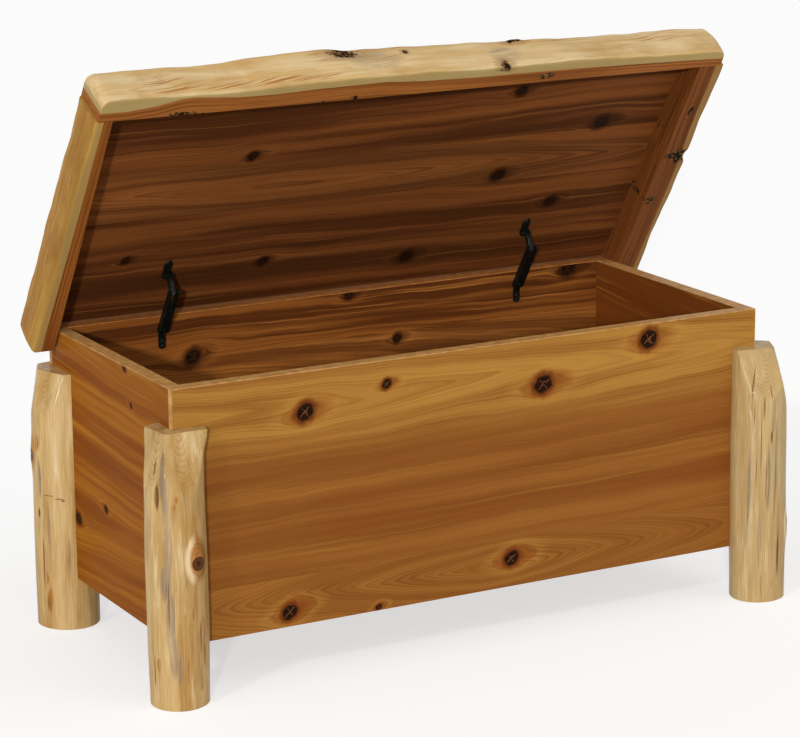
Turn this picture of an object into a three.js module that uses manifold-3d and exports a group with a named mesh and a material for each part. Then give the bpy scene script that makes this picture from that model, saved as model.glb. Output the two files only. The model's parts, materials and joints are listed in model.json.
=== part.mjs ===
// Blanket chest: cedar panels hung between four notched log legs, under a lid with
// live-edge slab rails, carried by a continuous hinge and two folding stays.
// Millimetres, +Z up, the front of the chest towards -Y.
import * as THREE from "three";
import { mergeVertices } from "three/addons/utils/BufferGeometryUtils.js";
import Module from "manifold-3d";

const wasm = await Module();
wasm.setup();

// Box
const boxWidth = 1112;
const boxDepth = 498;
const rimHeight = 516;
const panelHeight = 424;
const boardThick = 23.5;
const lipThick = 11;
const bandThick = 1.5;
const floorThick = 12;
const cleatSide = 20;
const cleatShort = 60;

// Clearances
const fit = 0.3;
const overrun = 2;

// Legs
const legRadius = 50;
const legOvalShare = 0.012;
const legLobeShare = 0.01;
const legRippleShare = 0.006;
const legFlareStartShare = 0.9;
const legDrop = 65;
const legKnotWidth = 17;
const legKnotSwell = 3.2;
const legScrewInset = 37;
const legScrewRise = 95;
const legScrewDrop = 130;
const legScrewReach = 24;
const legScrew = { shank: 2.4, head: 5.4, cap: 2.8 };

// Lid
const openAngle = THREE.MathUtils.degToRad(57.1);
const lidRest = 0.5;
const lidThick = 18;
const lidSkirt = 49;
const skirtGap = 4;
const frontGap = 2;
const railWidth = 40;
const railBulge = 2;
const railWave = 0.8;
const railUnit = 200;
const railTail = 14;
const railCorner = 15;
const railEndLean = 6;
const stationSpreadShare = 0.65;

// Continuous hinge
const knuckleRadius = 3.2;
const hingePinRadius = 1.3;
const hingeInset = 6;
const knuckleCount = 24;
const leafThick = 1.5;
const leafHeight = 13;
const leafScrewInset = 8;
const leafScrew = { shank: 1.4, head: 3, cap: 1.1 };
const leafScrewLength = 15;

// Lid stays, measured from the hinge line: forwards, then up
const stayPlaces = { left: -357, right: 357 };
const stayBase = { forward: 34, up: -24.3 };
const stayElbow = { forward: 82, up: 50 };
const stayFoot = { along: 96, under: 9 };
const stayPinRadius = 2.2;
const stayElbowPlay = 0.9;
const stayWidth = 16;
const stayWall = 2;
const stayDepth = 13;
const stayWebEnd = 12;
const armThick = 10;
const armWidth = 11;
const armBow = 6;
const rivetHead = 4.6;
const rivetCap = 1.4;
const bracketWidth = 14;
const bracketPlate = 2.5;
const bracketHead = 7.5;
const bracketLugDrop = 11;
const bracketDrop = 35;
const bracketScrewDrops = [21, 30];
const footPlate = 3;
const footLength = 38;
const footHeel = 8;
const footScrewAlong = 22;
const stayScrew = { shank: 1.8, head: 3.5, cap: 1.6 };
const stayScrewBite = 11;

// Facets of the round shapes
const roundSides = 12;
const logSides = 28;
const logRings = 15;
const frontStations = 54;
const sideStations = 30;
const edgePoints = 7;

// Finishes
const finish = {
  cedar: { color: 0xa5692b, roughness: 0.5, metalness: 0 },
  redCedar: { color: 0x6b3a1c, roughness: 0.55, metalness: 0 },
  edging: { color: 0xc8a06e, roughness: 0.5, metalness: 0 },
  log: { color: 0xd2ab70, roughness: 0.42, metalness: 0 },
  brass: { color: 0xb49a62, roughness: 0.35, metalness: 1 },
  zinc: { color: 0xa9a9a4, roughness: 0.4, metalness: 1 },
  black: { color: 0x15140f, roughness: 0.45, metalness: 0.6 },
};
const materials = Object.fromEntries(
  Object.entries(finish).map(([name, look]) => [name, new THREE.MeshStandardMaterial({ name, ...look })]),
);

// Levels and places that several pieces share
const panelBase = rimHeight - panelHeight;
const panelTop = rimHeight - bandThick - fit;
const axisBack = boxDepth / 2 + fit + knuckleRadius;
const axisHeight = rimHeight + lidRest / 2;
const legTop = rimHeight - legDrop;
const innerDepth = boxDepth - 2 * boardThick - 2 * fit;
const innerWidth = boxWidth - 2 * boardThick - 2 * fit;
const corners = {
  front_left: { x: -1, y: -1 },
  front_right: { x: 1, y: -1 },
  rear_left: { x: -1, y: 1 },
  rear_right: { x: 1, y: 1 },
};

const chest = new THREE.Group();
const lid = new THREE.Group();
lid.position.set(0, axisBack, axisHeight);
lid.rotation.x = -openAngle;
chest.add(lid);

function add(parent, name, geometry, material) {
  const mesh = new THREE.Mesh(geometry, materials[material]);
  mesh.name = name;
  parent.add(mesh);
  return mesh;
}

// Solids for cutting and joining
function solid(geometry) {
  const bare = geometry.clone();
  bare.deleteAttribute("normal");
  bare.deleteAttribute("uv");
  const merged = mergeVertices(bare);
  return new wasm.Manifold(
    new wasm.Mesh({
      numProp: 3,
      vertProperties: new Float32Array(merged.attributes.position.array),
      triVerts: new Uint32Array(merged.index.array),
    }),
  );
}

function surface(body) {
  const mesh = body.getMesh();
  const geometry = new THREE.BufferGeometry();
  geometry.setAttribute("position", new THREE.BufferAttribute(mesh.vertProperties, 3));
  geometry.setIndex(new THREE.BufferAttribute(mesh.triVerts, 1));
  geometry.computeVertexNormals();
  return geometry;
}

const joined = (...shapes) => shapes.map(solid).reduce((whole, piece) => whole.add(piece));
const cut = (body, ...tools) => tools.map(solid).reduce((left, tool) => left.subtract(tool), body);

// A smooth run through evenly spaced shares, read at a place from 0 to 1
function evenly(shares, place) {
  const run = new THREE.SplineCurve(shares.map((share, index) => new THREE.Vector2(index, share)));
  return run.getPoint(place).y;
}

const inOrder = (a, b) => [Math.min(a, b), Math.max(a, b)];

// A block between two corners
function block(low, high) {
  const size = high.map((value, axis) => value - low[axis]);
  const middle = high.map((value, axis) => (value + low[axis]) / 2);
  return new THREE.BoxGeometry(...size).translate(...middle);
}

// A rod from a start point along X or Y
function rod(axis, start, length, radius) {
  const geometry = new THREE.CylinderGeometry(radius, radius, Math.abs(length), roundSides);
  const middle = start.slice();
  if (axis === "x") {
    geometry.rotateZ(Math.PI / 2);
    middle[0] += length / 2;
  } else {
    middle[1] += length / 2;
  }
  return geometry.translate(...middle);
}

// A flat plate in the plane of the hinge's turn: outline in forward and up, thickness along X
function plate(outline, thick, holes = []) {
  outline.holes.push(...holes);
  const settings = { depth: thick, bevelEnabled: false, curveSegments: 6 };
  const geometry = new THREE.ExtrudeGeometry(outline, settings);
  const turn = new THREE.Matrix4().makeBasis(
    new THREE.Vector3(0, -1, 0),
    new THREE.Vector3(0, 0, 1),
    new THREE.Vector3(-1, 0, 0),
  );
  return geometry.applyMatrix4(turn).translate(thick / 2, 0, 0);
}

function roundHole(forward, up, radius) {
  return new THREE.Path().absarc(forward, up, radius, 0, 2 * Math.PI, true);
}

// A strip with round ends, from one point to another
function link(from, to, radius) {
  const direction = Math.atan2(to.up - from.up, to.forward - from.forward);
  const quarter = Math.PI / 2;
  const shape = new THREE.Shape();
  shape.absarc(from.forward, from.up, radius, direction + quarter, direction + 3 * quarter, false);
  shape.absarc(to.forward, to.up, radius, direction - quarter, direction + quarter, false);
  return shape;
}

// A domed screw: its head rests on the plane at zero and its shank runs down -Z
function screw(size, length) {
  const neck = size.cap * 0.35;
  const profile = [
    [0, -length],
    [size.shank, -length + size.shank],
    [size.shank, 0],
    [size.head, 0],
    [size.head, neck],
    [size.head / 2, size.cap],
    [0, size.cap],
  ].map(([radius, height]) => new THREE.Vector2(radius, height));
  const body = new THREE.LatheGeometry(profile, roundSides).rotateX(Math.PI / 2);
  const slotHalf = size.head * 0.14;
  const slotDeep = size.cap * 0.45;
  const slot = block(
    [-size.head * 0.6, -slotHalf, size.cap - slotDeep],
    [size.head * 0.6, slotHalf, size.cap + overrun],
  );
  return surface(cut(solid(body), slot));
}

function rivet(gripWidth) {
  const half = gripWidth / 2 + fit;
  return surface(
    joined(
      rod("x", [-half - rivetCap / 2, 0, 0], 2 * half + rivetCap, stayPinRadius),
      rod("x", [half, 0, 0], rivetCap, rivetHead),
      rod("x", [-half - rivetCap, 0, 0], rivetCap, rivetHead),
    ),
  );
}

// Box panels, their edging, the floor and its cleats
const legScrewHeights = [panelBase + legScrewRise, legTop - legScrewDrop];

function cutLegScrewHoles(body, axis, start, length) {
  return legScrewHeights.reduce(
    (left, height) => cut(left, rod(axis, [...start, height], length, legScrew.shank + fit)),
    body,
  );
}

// A long panel's ends are rabbeted, so that only its outer lip laps over the side panels
function addLongPanel(side, facing) {
  const outer = (facing * boxDepth) / 2;
  const inner = outer - facing * boardThick;
  const lip = outer - facing * lipThick;
  const [low, high] = inOrder(outer, inner);
  const [lipLow, lipHigh] = inOrder(outer, lip);
  const [cutLow, cutHigh] = inOrder(lip, inner - facing * overrun);
  const half = boxWidth / 2;
  const end = half - bandThick - fit;
  const rabbet = half - boardThick - fit;
  let body = cut(
    solid(block([-end, low, panelBase], [end, high, panelTop])),
    block([-half, cutLow, panelBase - overrun], [-rabbet, cutHigh, rimHeight]),
    block([rabbet, cutLow, panelBase - overrun], [half, cutHigh, rimHeight]),
  );
  if (facing < 0) {
    for (const hand of [-1, 1]) {
      const start = [hand * (half - legScrewInset), low - overrun];
      body = cutLegScrewHoles(body, "y", start, boardThick + 2 * overrun);
    }
  } else {
    for (const place of leafScrewPlaces()) {
      const start = [place, outer + overrun, axisHeight - leafScrewInset];
      body = cut(body, rod("y", start, -(leafScrewLength + 2 * overrun), leafScrew.shank + fit));
    }
    body = cut(body, ...bracketScrewHoles());
  }
  add(chest, `${side}_panel`, surface(body), "cedar");
  add(
    chest,
    `rim_band_${side}`,
    block([-half, low, rimHeight - bandThick], [half, high, rimHeight]),
    "edging",
  );
  add(
    chest,
    `end_band_${side}_left`,
    block([-half, lipLow, panelBase], [-half + bandThick, lipHigh, panelTop]),
    "edging",
  );
  add(
    chest,
    `end_band_${side}_right`,
    block([half - bandThick, lipLow, panelBase], [half, lipHigh, panelTop]),
    "edging",
  );
}

function addSidePanel(side, facing) {
  const outer = (facing * boxWidth) / 2;
  const inner = outer - facing * boardThick;
  const [low, high] = inOrder(outer, inner);
  const half = innerDepth / 2;
  const reach = boxDepth / 2 - lipThick - fit;
  const start = [low - overrun, boxDepth / 2 - legScrewInset];
  const board = solid(block([low, -reach, panelBase], [high, reach, panelTop]));
  const body = cutLegScrewHoles(board, "x", start, boardThick + 2 * overrun);
  add(chest, `${side}_panel`, surface(body), "cedar");
  add(
    chest,
    `rim_band_${side}`,
    block([low, -half, rimHeight - bandThick], [high, half, rimHeight]),
    "edging",
  );
}

function addFloor() {
  const halfWidth = innerWidth / 2;
  const halfDepth = innerDepth / 2;
  const base = panelBase + cleatSide + fit;
  add(
    chest,
    "floor_panel",
    block([-halfWidth, -halfDepth, base], [halfWidth, halfDepth, base + floorThick]),
    "redCedar",
  );
  for (const [side, facing] of [["front", -1], ["rear", 1]]) {
    const [low, high] = inOrder(facing * halfDepth, facing * (halfDepth - cleatSide));
    const reach = halfWidth - cleatShort;
    add(
      chest,
      `floor_cleat_${side}`,
      block([-reach, low, panelBase], [reach, high, panelBase + cleatSide]),
      "redCedar",
    );
  }
}

// Legs: peeled logs notched round the corners, with the tops hewn back in facets. Shares are
// of the leg radius, and each list of girths runs from the foot to the top. A log's axis
// stands inwards of its corner, by one pair of shares at the foot and another at the top.
const legShapes = {
  front_left: {
    footInShares: [0.06, 0],
    topInShares: [0.04, 0],
    girthShares: [0.97, 1, 1, 0.965, 0.95],
    flareShare: 0.12,
    turn: 0.4,
    knots: [{ heightShare: 0.49, facing: 285 }],
    hewn: [
      { facing: 268, tilt: 15, reachShare: 0.43 },
      { facing: 186, tilt: 12, reachShare: 0.52 },
    ],
  },
  front_right: {
    footInShares: [-0.06, -0.34],
    topInShares: [0.02, -0.26],
    girthShares: [0.965, 0.99, 1, 0.99, 0.97],
    flareShare: 0,
    turn: 1.7,
    knots: [{ heightShare: 0.28, facing: 330 }],
    hewn: [
      { facing: 255, tilt: 20, reachShare: 0.36 },
      { facing: 268, tilt: 37, reachShare: 0.25 },
      { facing: 335, tilt: 13, reachShare: 0.53 },
    ],
  },
  rear_left: {
    footInShares: [0.07, 0.79],
    topInShares: [0.07, 0.79],
    girthShares: [1.07, 1.08, 1.08, 1.08, 1.06],
    flareShare: 0,
    turn: 2.9,
    knots: [{ heightShare: 0.65, facing: 160 }],
    hewn: [
      { facing: 160, tilt: 11, reachShare: 0.78 },
      { facing: 200, tilt: 16, reachShare: 0.66 },
    ],
  },
  rear_right: {
    footInShares: [0.1, 0.72],
    topInShares: [0.06, 0.76],
    girthShares: [1.04, 1.05, 1.06, 1.05, 1.03],
    flareShare: 0.03,
    turn: 4.1,
    knots: [{ heightShare: 0.4, facing: 40 }],
    hewn: [
      { facing: 10, tilt: 9, reachShare: 0.8 },
      { facing: 70, tilt: 16, reachShare: 0.7 },
    ],
  },
};

// The log's radius at an angle and a share of its height
function logRadius(shape, angle, share, height) {
  const turn = shape.turn;
  const wave =
    legOvalShare * Math.sin(2 * angle + turn + share) +
    legLobeShare * Math.sin(3 * angle + 2 * turn - 2 * share) +
    legRippleShare * Math.sin(7 * share + turn + angle);
  const flare = shape.flareShare * THREE.MathUtils.smoothstep(share, legFlareStartShare, 1);
  let radius = legRadius * (evenly(shape.girthShares, share) + wave + flare);
  for (const knot of shape.knots) {
    const facing = THREE.MathUtils.degToRad(knot.facing);
    const around = Math.atan2(Math.sin(angle - facing), Math.cos(angle - facing)) * legRadius;
    const along = (share - knot.heightShare) * height;
    radius += legKnotSwell * Math.exp(-(around ** 2 + along ** 2) / (2 * legKnotWidth ** 2));
  }
  return radius;
}

// The log's axis at a share of its height, from the corner of the box
function legAxis(shape, corner, share) {
  const [foot, top] = [shape.footInShares, shape.topInShares];
  const x = -corner.x * legRadius * THREE.MathUtils.lerp(foot[0], top[0], share);
  const y = -corner.y * legRadius * THREE.MathUtils.lerp(foot[1], top[1], share);
  return { x, y };
}

// A closed skin over rings of points that run anticlockwise, seen from the last ring
function skin(rings) {
  const sides = rings[0].length;
  const points = rings.flat();
  const faces = [];
  for (let ring = 0; ring + 1 < rings.length; ring += 1) {
    for (let side = 0; side < sides; side += 1) {
      const a = ring * sides + side;
      const b = ring * sides + ((side + 1) % sides);
      faces.push(a, b, b + sides, a, b + sides, a + sides);
    }
  }
  for (const [ring, forwards] of [[0, false], [rings.length - 1, true]]) {
    const centre = new THREE.Vector3();
    rings[ring].forEach((point) => centre.addScaledVector(point, 1 / sides));
    const hub = points.push(centre) - 1;
    for (let side = 0; side < sides; side += 1) {
      const a = ring * sides + side;
      const b = ring * sides + ((side + 1) % sides);
      faces.push(...(forwards ? [hub, a, b] : [hub, b, a]));
    }
  }
  const geometry = new THREE.BufferGeometry().setFromPoints(points);
  geometry.setIndex(faces);
  geometry.computeVertexNormals();
  return geometry;
}

function logGeometry(shape, corner, height) {
  const rings = [];
  for (let ring = 0; ring <= logRings; ring += 1) {
    const share = ring / logRings;
    const axis = legAxis(shape, corner, share);
    const points = [];
    for (let side = 0; side < logSides; side += 1) {
      const angle = (2 * Math.PI * side) / logSides;
      const radius = logRadius(shape, angle, share, height);
      const x = axis.x + radius * Math.cos(angle);
      const y = axis.y + radius * Math.sin(angle);
      points.push(new THREE.Vector3(x, y, share * height));
    }
    rings.push(points);
  }
  return skin(rings);
}

// The wood that a hewn facet takes away: everything outside a leaning plane
function hewnOff(facet, height) {
  const side = 8 * legRadius;
  const facing = THREE.MathUtils.degToRad(facet.facing);
  return new THREE.BoxGeometry(side, side, side)
    .translate(side / 2, 0, 0)
    .rotateY(-THREE.MathUtils.degToRad(facet.tilt))
    .translate(legRadius * facet.reachShare, 0, height)
    .rotateZ(facing);
}

// The front legs are screwed on through the front panel, the rear legs through the side panels
function legScrewLine(corner) {
  const x = (corner.x * boxWidth) / 2;
  const y = (corner.y * boxDepth) / 2;
  return corner.y < 0
    ? { axis: "y", outwards: corner.y, x: x - corner.x * legScrewInset, y }
    : { axis: "x", outwards: corner.x, x, y: y - corner.y * legScrewInset };
}

function addLegScrews(place, corner) {
  const line = legScrewLine(corner);
  const sunk = line.outwards * (boardThick + fit);
  legScrewHeights.forEach((height, index) => {
    const shape = screw(legScrew, boardThick + fit + legScrewReach);
    const mesh = add(chest, `leg_screw_${place}_${index + 1}`, shape, "zinc");
    if (line.axis === "y") {
      mesh.position.set(line.x, line.y - sunk, height);
      mesh.rotation.x = (line.outwards * Math.PI) / 2;
    } else {
      mesh.position.set(line.x - sunk, line.y, height);
      mesh.rotation.y = (-line.outwards * Math.PI) / 2;
    }
  });
}

function addLeg(place, corner) {
  const shape = legShapes[place];
  const centre = [(corner.x * boxWidth) / 2, (corner.y * boxDepth) / 2];
  const topAxis = legAxis(shape, corner, 1);
  const notch = 4 * legRadius;
  const inwards = corner.x > 0 ? [-notch, fit] : [-fit, notch];
  const backwards = corner.y > 0 ? [-notch, fit] : [-fit, notch];
  let body = cut(
    solid(logGeometry(shape, corner, legTop)),
    block([inwards[0], backwards[0], panelBase - fit], [inwards[1], backwards[1], legTop + overrun]),
    ...shape.hewn.map((facet) => hewnOff(facet, legTop).translate(topAxis.x, topAxis.y, 0)),
  );
  body = body.translate([...centre, 0]);
  const line = legScrewLine(corner);
  const drilled = line.outwards * (legScrewReach + overrun);
  body = cutLegScrewHoles(body, line.axis, [line.x, line.y], drilled);
  add(chest, `leg_${place}`, surface(body), "log");
  addLegScrews(place, corner);
}

// Lid: coordinates from the hinge line, forwards along -Y
const lidBase = lidRest / 2;
const lidTop = lidBase + lidThick;
const railBase = lidTop - lidThick - lidSkirt;
const railInner = boxWidth / 2 + skirtGap;
const frontInner = fit + knuckleRadius + boxDepth + frontGap;

// Widths as shares of the rail width, evenly spaced along the underside and along the top:
// from left to right on the front rail, from the rear to the front on the side rails
const rails = {
  front: {
    lowShares: [1.12, 1.09, 1.02, 1.05, 1.15, 1.19, 1.14, 1.06, 1.11, 1.1, 0.99, 0.93, 0.85],
    highShares: [1.1, 1.17, 1.12, 1.28, 1.43, 1.26, 1.15, 1.11, 1.03, 0.9, 0.89, 0.9, 0.78],
    seed: 0.7,
  },
  left: {
    lowShares: [0.97, 0.92, 0.89, 0.86, 0.71],
    highShares: [0.98, 0.96, 0.89, 0.84, 0.79],
    seed: 1.1,
  },
  right: {
    lowShares: [1.37, 1.29, 1.33, 1.27, 1.25],
    highShares: [1.2, 1.15, 1.18, 1.15, 1.15],
    seed: 3.1,
  },
};

// How far the front rail's ends run past the side rails' inner faces
const railEndShares = { left: 0.775, right: 1.2 };

// The live edge's width at a share of the rail's length and a share of its height
function liveEdge(rail, place, along, rise) {
  const low = railWidth * evenly(rail.lowShares, place);
  const high = railWidth * evenly(rail.highShares, place);
  const turn = along / railUnit;
  const seed = rail.seed + rise;
  const wander =
    Math.sin(4.3 * turn + seed) +
    0.7 * Math.sin(9.1 * turn + 2 * seed) +
    0.5 * Math.sin(17.7 * turn + 3 * seed);
  const belly = Math.sin(Math.PI * rise);
  return THREE.MathUtils.lerp(low, high, rise) + railBulge * belly + railWave * wander;
}

// A rail's outline at one place along it: outwards, up and the share of its height
function railSection(rail, place, along, trim) {
  const outline = [{ out: 0, rise: 0 }];
  for (let point = 0; point <= edgePoints; point += 1) {
    const rise = point / edgePoints;
    outline.push({ out: liveEdge(rail, place, along, rise) - trim, rise });
  }
  outline.push({ out: 0, rise: 1 });
  return outline.map(({ out, rise }) => ({ out, rise, up: THREE.MathUtils.lerp(railBase, lidTop, rise) }));
}

// How much a rounded corner takes off the width, this far from the rail's end
function cornerTrim(fromEnd) {
  const inside = Math.max(0, railCorner - fromEnd);
  return railCorner - Math.sqrt(railCorner ** 2 - inside ** 2);
}

function addFrontRail() {
  const left = -railInner - railWidth * railEndShares.left;
  const right = railInner + railWidth * railEndShares.right;
  const half = (right - left) / 2;
  const rings = [];
  for (let station = frontStations; station >= 0; station -= 1) {
    const even = station / frontStations;
    const eased = (1 - Math.cos(Math.PI * even)) / 2;
    const place = THREE.MathUtils.lerp(eased, even, stationSpreadShare);
    const offset = (2 * place - 1) * half;
    const trim = cornerTrim(half - Math.abs(offset));
    const across = (rise) => (left + right) / 2 + offset * (1 - (railEndLean / half) * (1 - rise));
    const ring = railSection(rails.front, place, offset, trim);
    rings.push(ring.map(({ out, rise, up }) => new THREE.Vector3(across(rise), -frontInner - out, up)));
  }
  add(lid, "lid_rail_front", skin(rings), "log");
}

function addSideRail(side, facing) {
  const rear = -railTail + knuckleRadius + fit;
  const front = frontInner - fit;
  const rings = [];
  for (let station = 0; station <= sideStations; station += 1) {
    const share = station / sideStations;
    const place = facing > 0 ? share : 1 - share;
    const along = THREE.MathUtils.lerp(rear, front, place);
    const ring = railSection(rails[side], place, along, 0);
    rings.push(ring.map(({ out, up }) => new THREE.Vector3(facing * (railInner + out), -along, up)));
  }
  add(lid, `lid_rail_${side}`, skin(rings), "log");
}

function addLidPanel() {
  const half = railInner - fit;
  const rear = -knuckleRadius - fit;
  let body = solid(block([-half, -frontInner + fit, lidBase], [half, rear, lidTop]));
  for (const place of leafScrewPlaces()) {
    const start = [place, rear + overrun, leafScrewInset];
    body = cut(body, rod("y", start, -(leafScrewLength + 2 * overrun), leafScrew.shank + fit));
  }
  for (const x of Object.values(stayPlaces)) {
    const hole = new THREE.CylinderGeometry(
      stayScrew.shank + fit, stayScrew.shank + fit, stayScrewBite + overrun, roundSides,
    );
    hole.rotateX(Math.PI / 2);
    hole.translate(x, -(stayFoot.along + footScrewAlong), lidBase + stayScrewBite / 2);
    body = cut(body, hole);
  }
  add(lid, "lid_panel", surface(body), "redCedar");
}

// Continuous hinge: two leaves with knuckles in turn on one long pin
const hingeLength = boxWidth - 2 * hingeInset;
const knucklePitch = hingeLength / knuckleCount;

function leafScrewPlaces() {
  return [-2, 0, 2].map((place) => (place * hingeLength) / 5 + knucklePitch / 2);
}

function leafGeometry(parity, upwards) {
  const half = hingeLength / 2;
  const near = upwards * (knuckleRadius + fit);
  const far = upwards * (knuckleRadius + leafHeight);
  const back = -knuckleRadius + leafThick;
  const [low, high] = inOrder(near, far);
  let body = solid(block([-half, -knuckleRadius, low], [half, back, high]));
  for (let knuckle = parity; knuckle < knuckleCount; knuckle += 2) {
    const start = -half + knuckle * knucklePitch + fit / 2;
    const end = start + knucklePitch - fit;
    const [from, to] = inOrder(0, upwards * (knuckleRadius + 2 * fit));
    body = body
      .add(solid(rod("x", [start, 0, 0], end - start, knuckleRadius)))
      .add(solid(block([start, -knuckleRadius, from], [end, back, to])));
  }
  body = cut(body, rod("x", [-half - overrun, 0, 0], hingeLength + 2 * overrun, hingePinRadius + fit));
  for (const place of leafScrewPlaces()) {
    const start = [place, -knuckleRadius - overrun, upwards * leafScrewInset];
    body = cut(body, rod("y", start, leafThick + 2 * overrun, leafScrew.shank + fit));
  }
  return surface(body);
}

function addHinge() {
  const leaf = add(chest, "hinge_leaf_box", leafGeometry(0, -1), "brass");
  leaf.position.set(0, axisBack, axisHeight);
  add(lid, "hinge_leaf_lid", leafGeometry(1, 1), "brass");
  const rodShape = rod("x", [-hingeLength / 2, 0, 0], hingeLength, hingePinRadius);
  const pin = add(chest, "hinge_pin", rodShape, "zinc");
  pin.position.copy(leaf.position);
  leafScrewPlaces().forEach((place, index) => {
    const face = -knuckleRadius + leafThick + fit;
    const boxScrew = add(chest, `hinge_screw_box_${index + 1}`, screw(leafScrew, leafScrewLength), "brass");
    boxScrew.position.set(place, axisBack + face, axisHeight - leafScrewInset);
    boxScrew.rotation.x = -Math.PI / 2;
    const lidScrew = add(lid, `hinge_screw_lid_${index + 1}`, screw(leafScrew, leafScrewLength), "brass");
    lidScrew.position.set(place, face, leafScrewInset);
    lidScrew.rotation.x = -Math.PI / 2;
  });
}

// Lid stays: a bracket on the back panel carries a channel, which is joined at the
// elbow to a bowed arm, which hangs from a foot on the lid
const channelLength = Math.hypot(stayElbow.forward - stayBase.forward, stayElbow.up - stayBase.up);
const channelLean = Math.atan2(stayElbow.up - stayBase.up, stayElbow.forward - stayBase.forward);
const backInner = fit + knuckleRadius + boardThick;

function bracketScrewHoles() {
  const holes = [];
  for (const x of Object.values(stayPlaces)) {
    for (const drop of bracketScrewDrops) {
      const start = [x, boxDepth / 2 - boardThick - overrun, axisHeight + stayBase.up - drop];
      holes.push(rod("y", start, stayScrewBite + 2 * overrun, stayScrew.shank + fit));
    }
  }
  return holes;
}

function bracketGeometry() {
  const faceNear = backInner + fit;
  const faceFar = faceNear + bracketPlate;
  const half = bracketWidth / 2;
  const top = stayBase.up - bracketHead;
  const bottom = stayBase.up - bracketDrop;
  const base = block([-half, -faceFar, bottom], [half, -faceNear, top]);
  const root = { forward: faceNear + bracketPlate / 2, up: stayBase.up - bracketLugDrop };
  const lug = link(root, stayBase, armThick / 2);
  const lugPlate = plate(lug, armThick, [roundHole(stayBase.forward, stayBase.up, stayPinRadius + fit)]);
  const behindTop = stayBase.up + bracketHead;
  const behind = block([-half, -faceNear, bottom], [half, -faceNear + boardThick, behindTop]);
  let body = cut(joined(base, lugPlate), behind);
  for (const drop of bracketScrewDrops) {
    const start = [0, -faceFar - overrun, stayBase.up - drop];
    body = cut(body, rod("y", start, bracketPlate + 2 * overrun, stayScrew.shank + fit));
  }
  return surface(body);
}

// The channel lies along the forward axis here, with its foot pin at the origin
function channelGeometry() {
  const foot = { forward: 0, up: 0 };
  const elbow = { forward: channelLength, up: 0 };
  const radius = stayDepth / 2 - fit;
  const wall = (x) =>
    plate(link(foot, elbow, radius), stayWall, [
      roundHole(0, 0, stayPinRadius + fit),
      roundHole(channelLength, 0, stayPinRadius + fit + stayElbowPlay),
    ]).translate(x, 0, 0);
  const offset = (stayWidth - stayWall) / 2;
  const web = block(
    [-stayWidth / 2, -channelLength + stayWebEnd, -radius],
    [stayWidth / 2, -stayWebEnd, -radius + stayWall],
  );
  return surface(joined(wall(-offset), wall(offset), web));
}

// The arm from the foot's pin at the origin to the elbow, bowed towards the front
function armGeometry(elbow) {
  const length = Math.hypot(elbow.forward, elbow.up);
  const lean = Math.atan2(elbow.up, elbow.forward);
  const half = armWidth / 2;
  const shape = new THREE.Shape();
  const quarter = Math.PI / 2;
  shape.absarc(0, 0, half, quarter, 3 * quarter, false);
  shape.quadraticCurveTo(length / 2, -half, length, -half);
  shape.absarc(length, 0, half, -quarter, quarter, false);
  shape.quadraticCurveTo(length / 2, half + 2 * armBow, 0, half);
  shape.holes.push(roundHole(0, 0, stayPinRadius + fit), roundHole(length, 0, stayPinRadius + fit));
  return plate(shape, armThick).rotateX(-lean);
}

function footGeometry() {
  const under = lidBase - fit;
  const half = stayWidth / 2;
  const heel = -(stayFoot.along - footHeel);
  const base = block([-half, heel - footLength, under - footPlate], [half, heel, under]);
  const pin = { forward: stayFoot.along, up: -stayFoot.under };
  const root = { forward: stayFoot.along, up: under - footPlate / 2 };
  const offset = (stayWidth - stayWall) / 2;
  const ear = (x) =>
    plate(link(root, pin, armWidth / 2), stayWall, [roundHole(pin.forward, pin.up, stayPinRadius + fit)])
      .translate(x, 0, 0);
  const above = block([-half, heel - footLength, under], [half, heel, under + 2 * armWidth]);
  const hole = new THREE.CylinderGeometry(
    stayScrew.shank + fit, stayScrew.shank + fit, 2 * footPlate + 2 * overrun, roundSides,
  );
  hole.rotateX(Math.PI / 2);
  hole.translate(0, -(stayFoot.along + footScrewAlong), under - footPlate / 2);
  return surface(cut(joined(base, ear(-offset), ear(offset)), above, hole));
}

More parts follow.
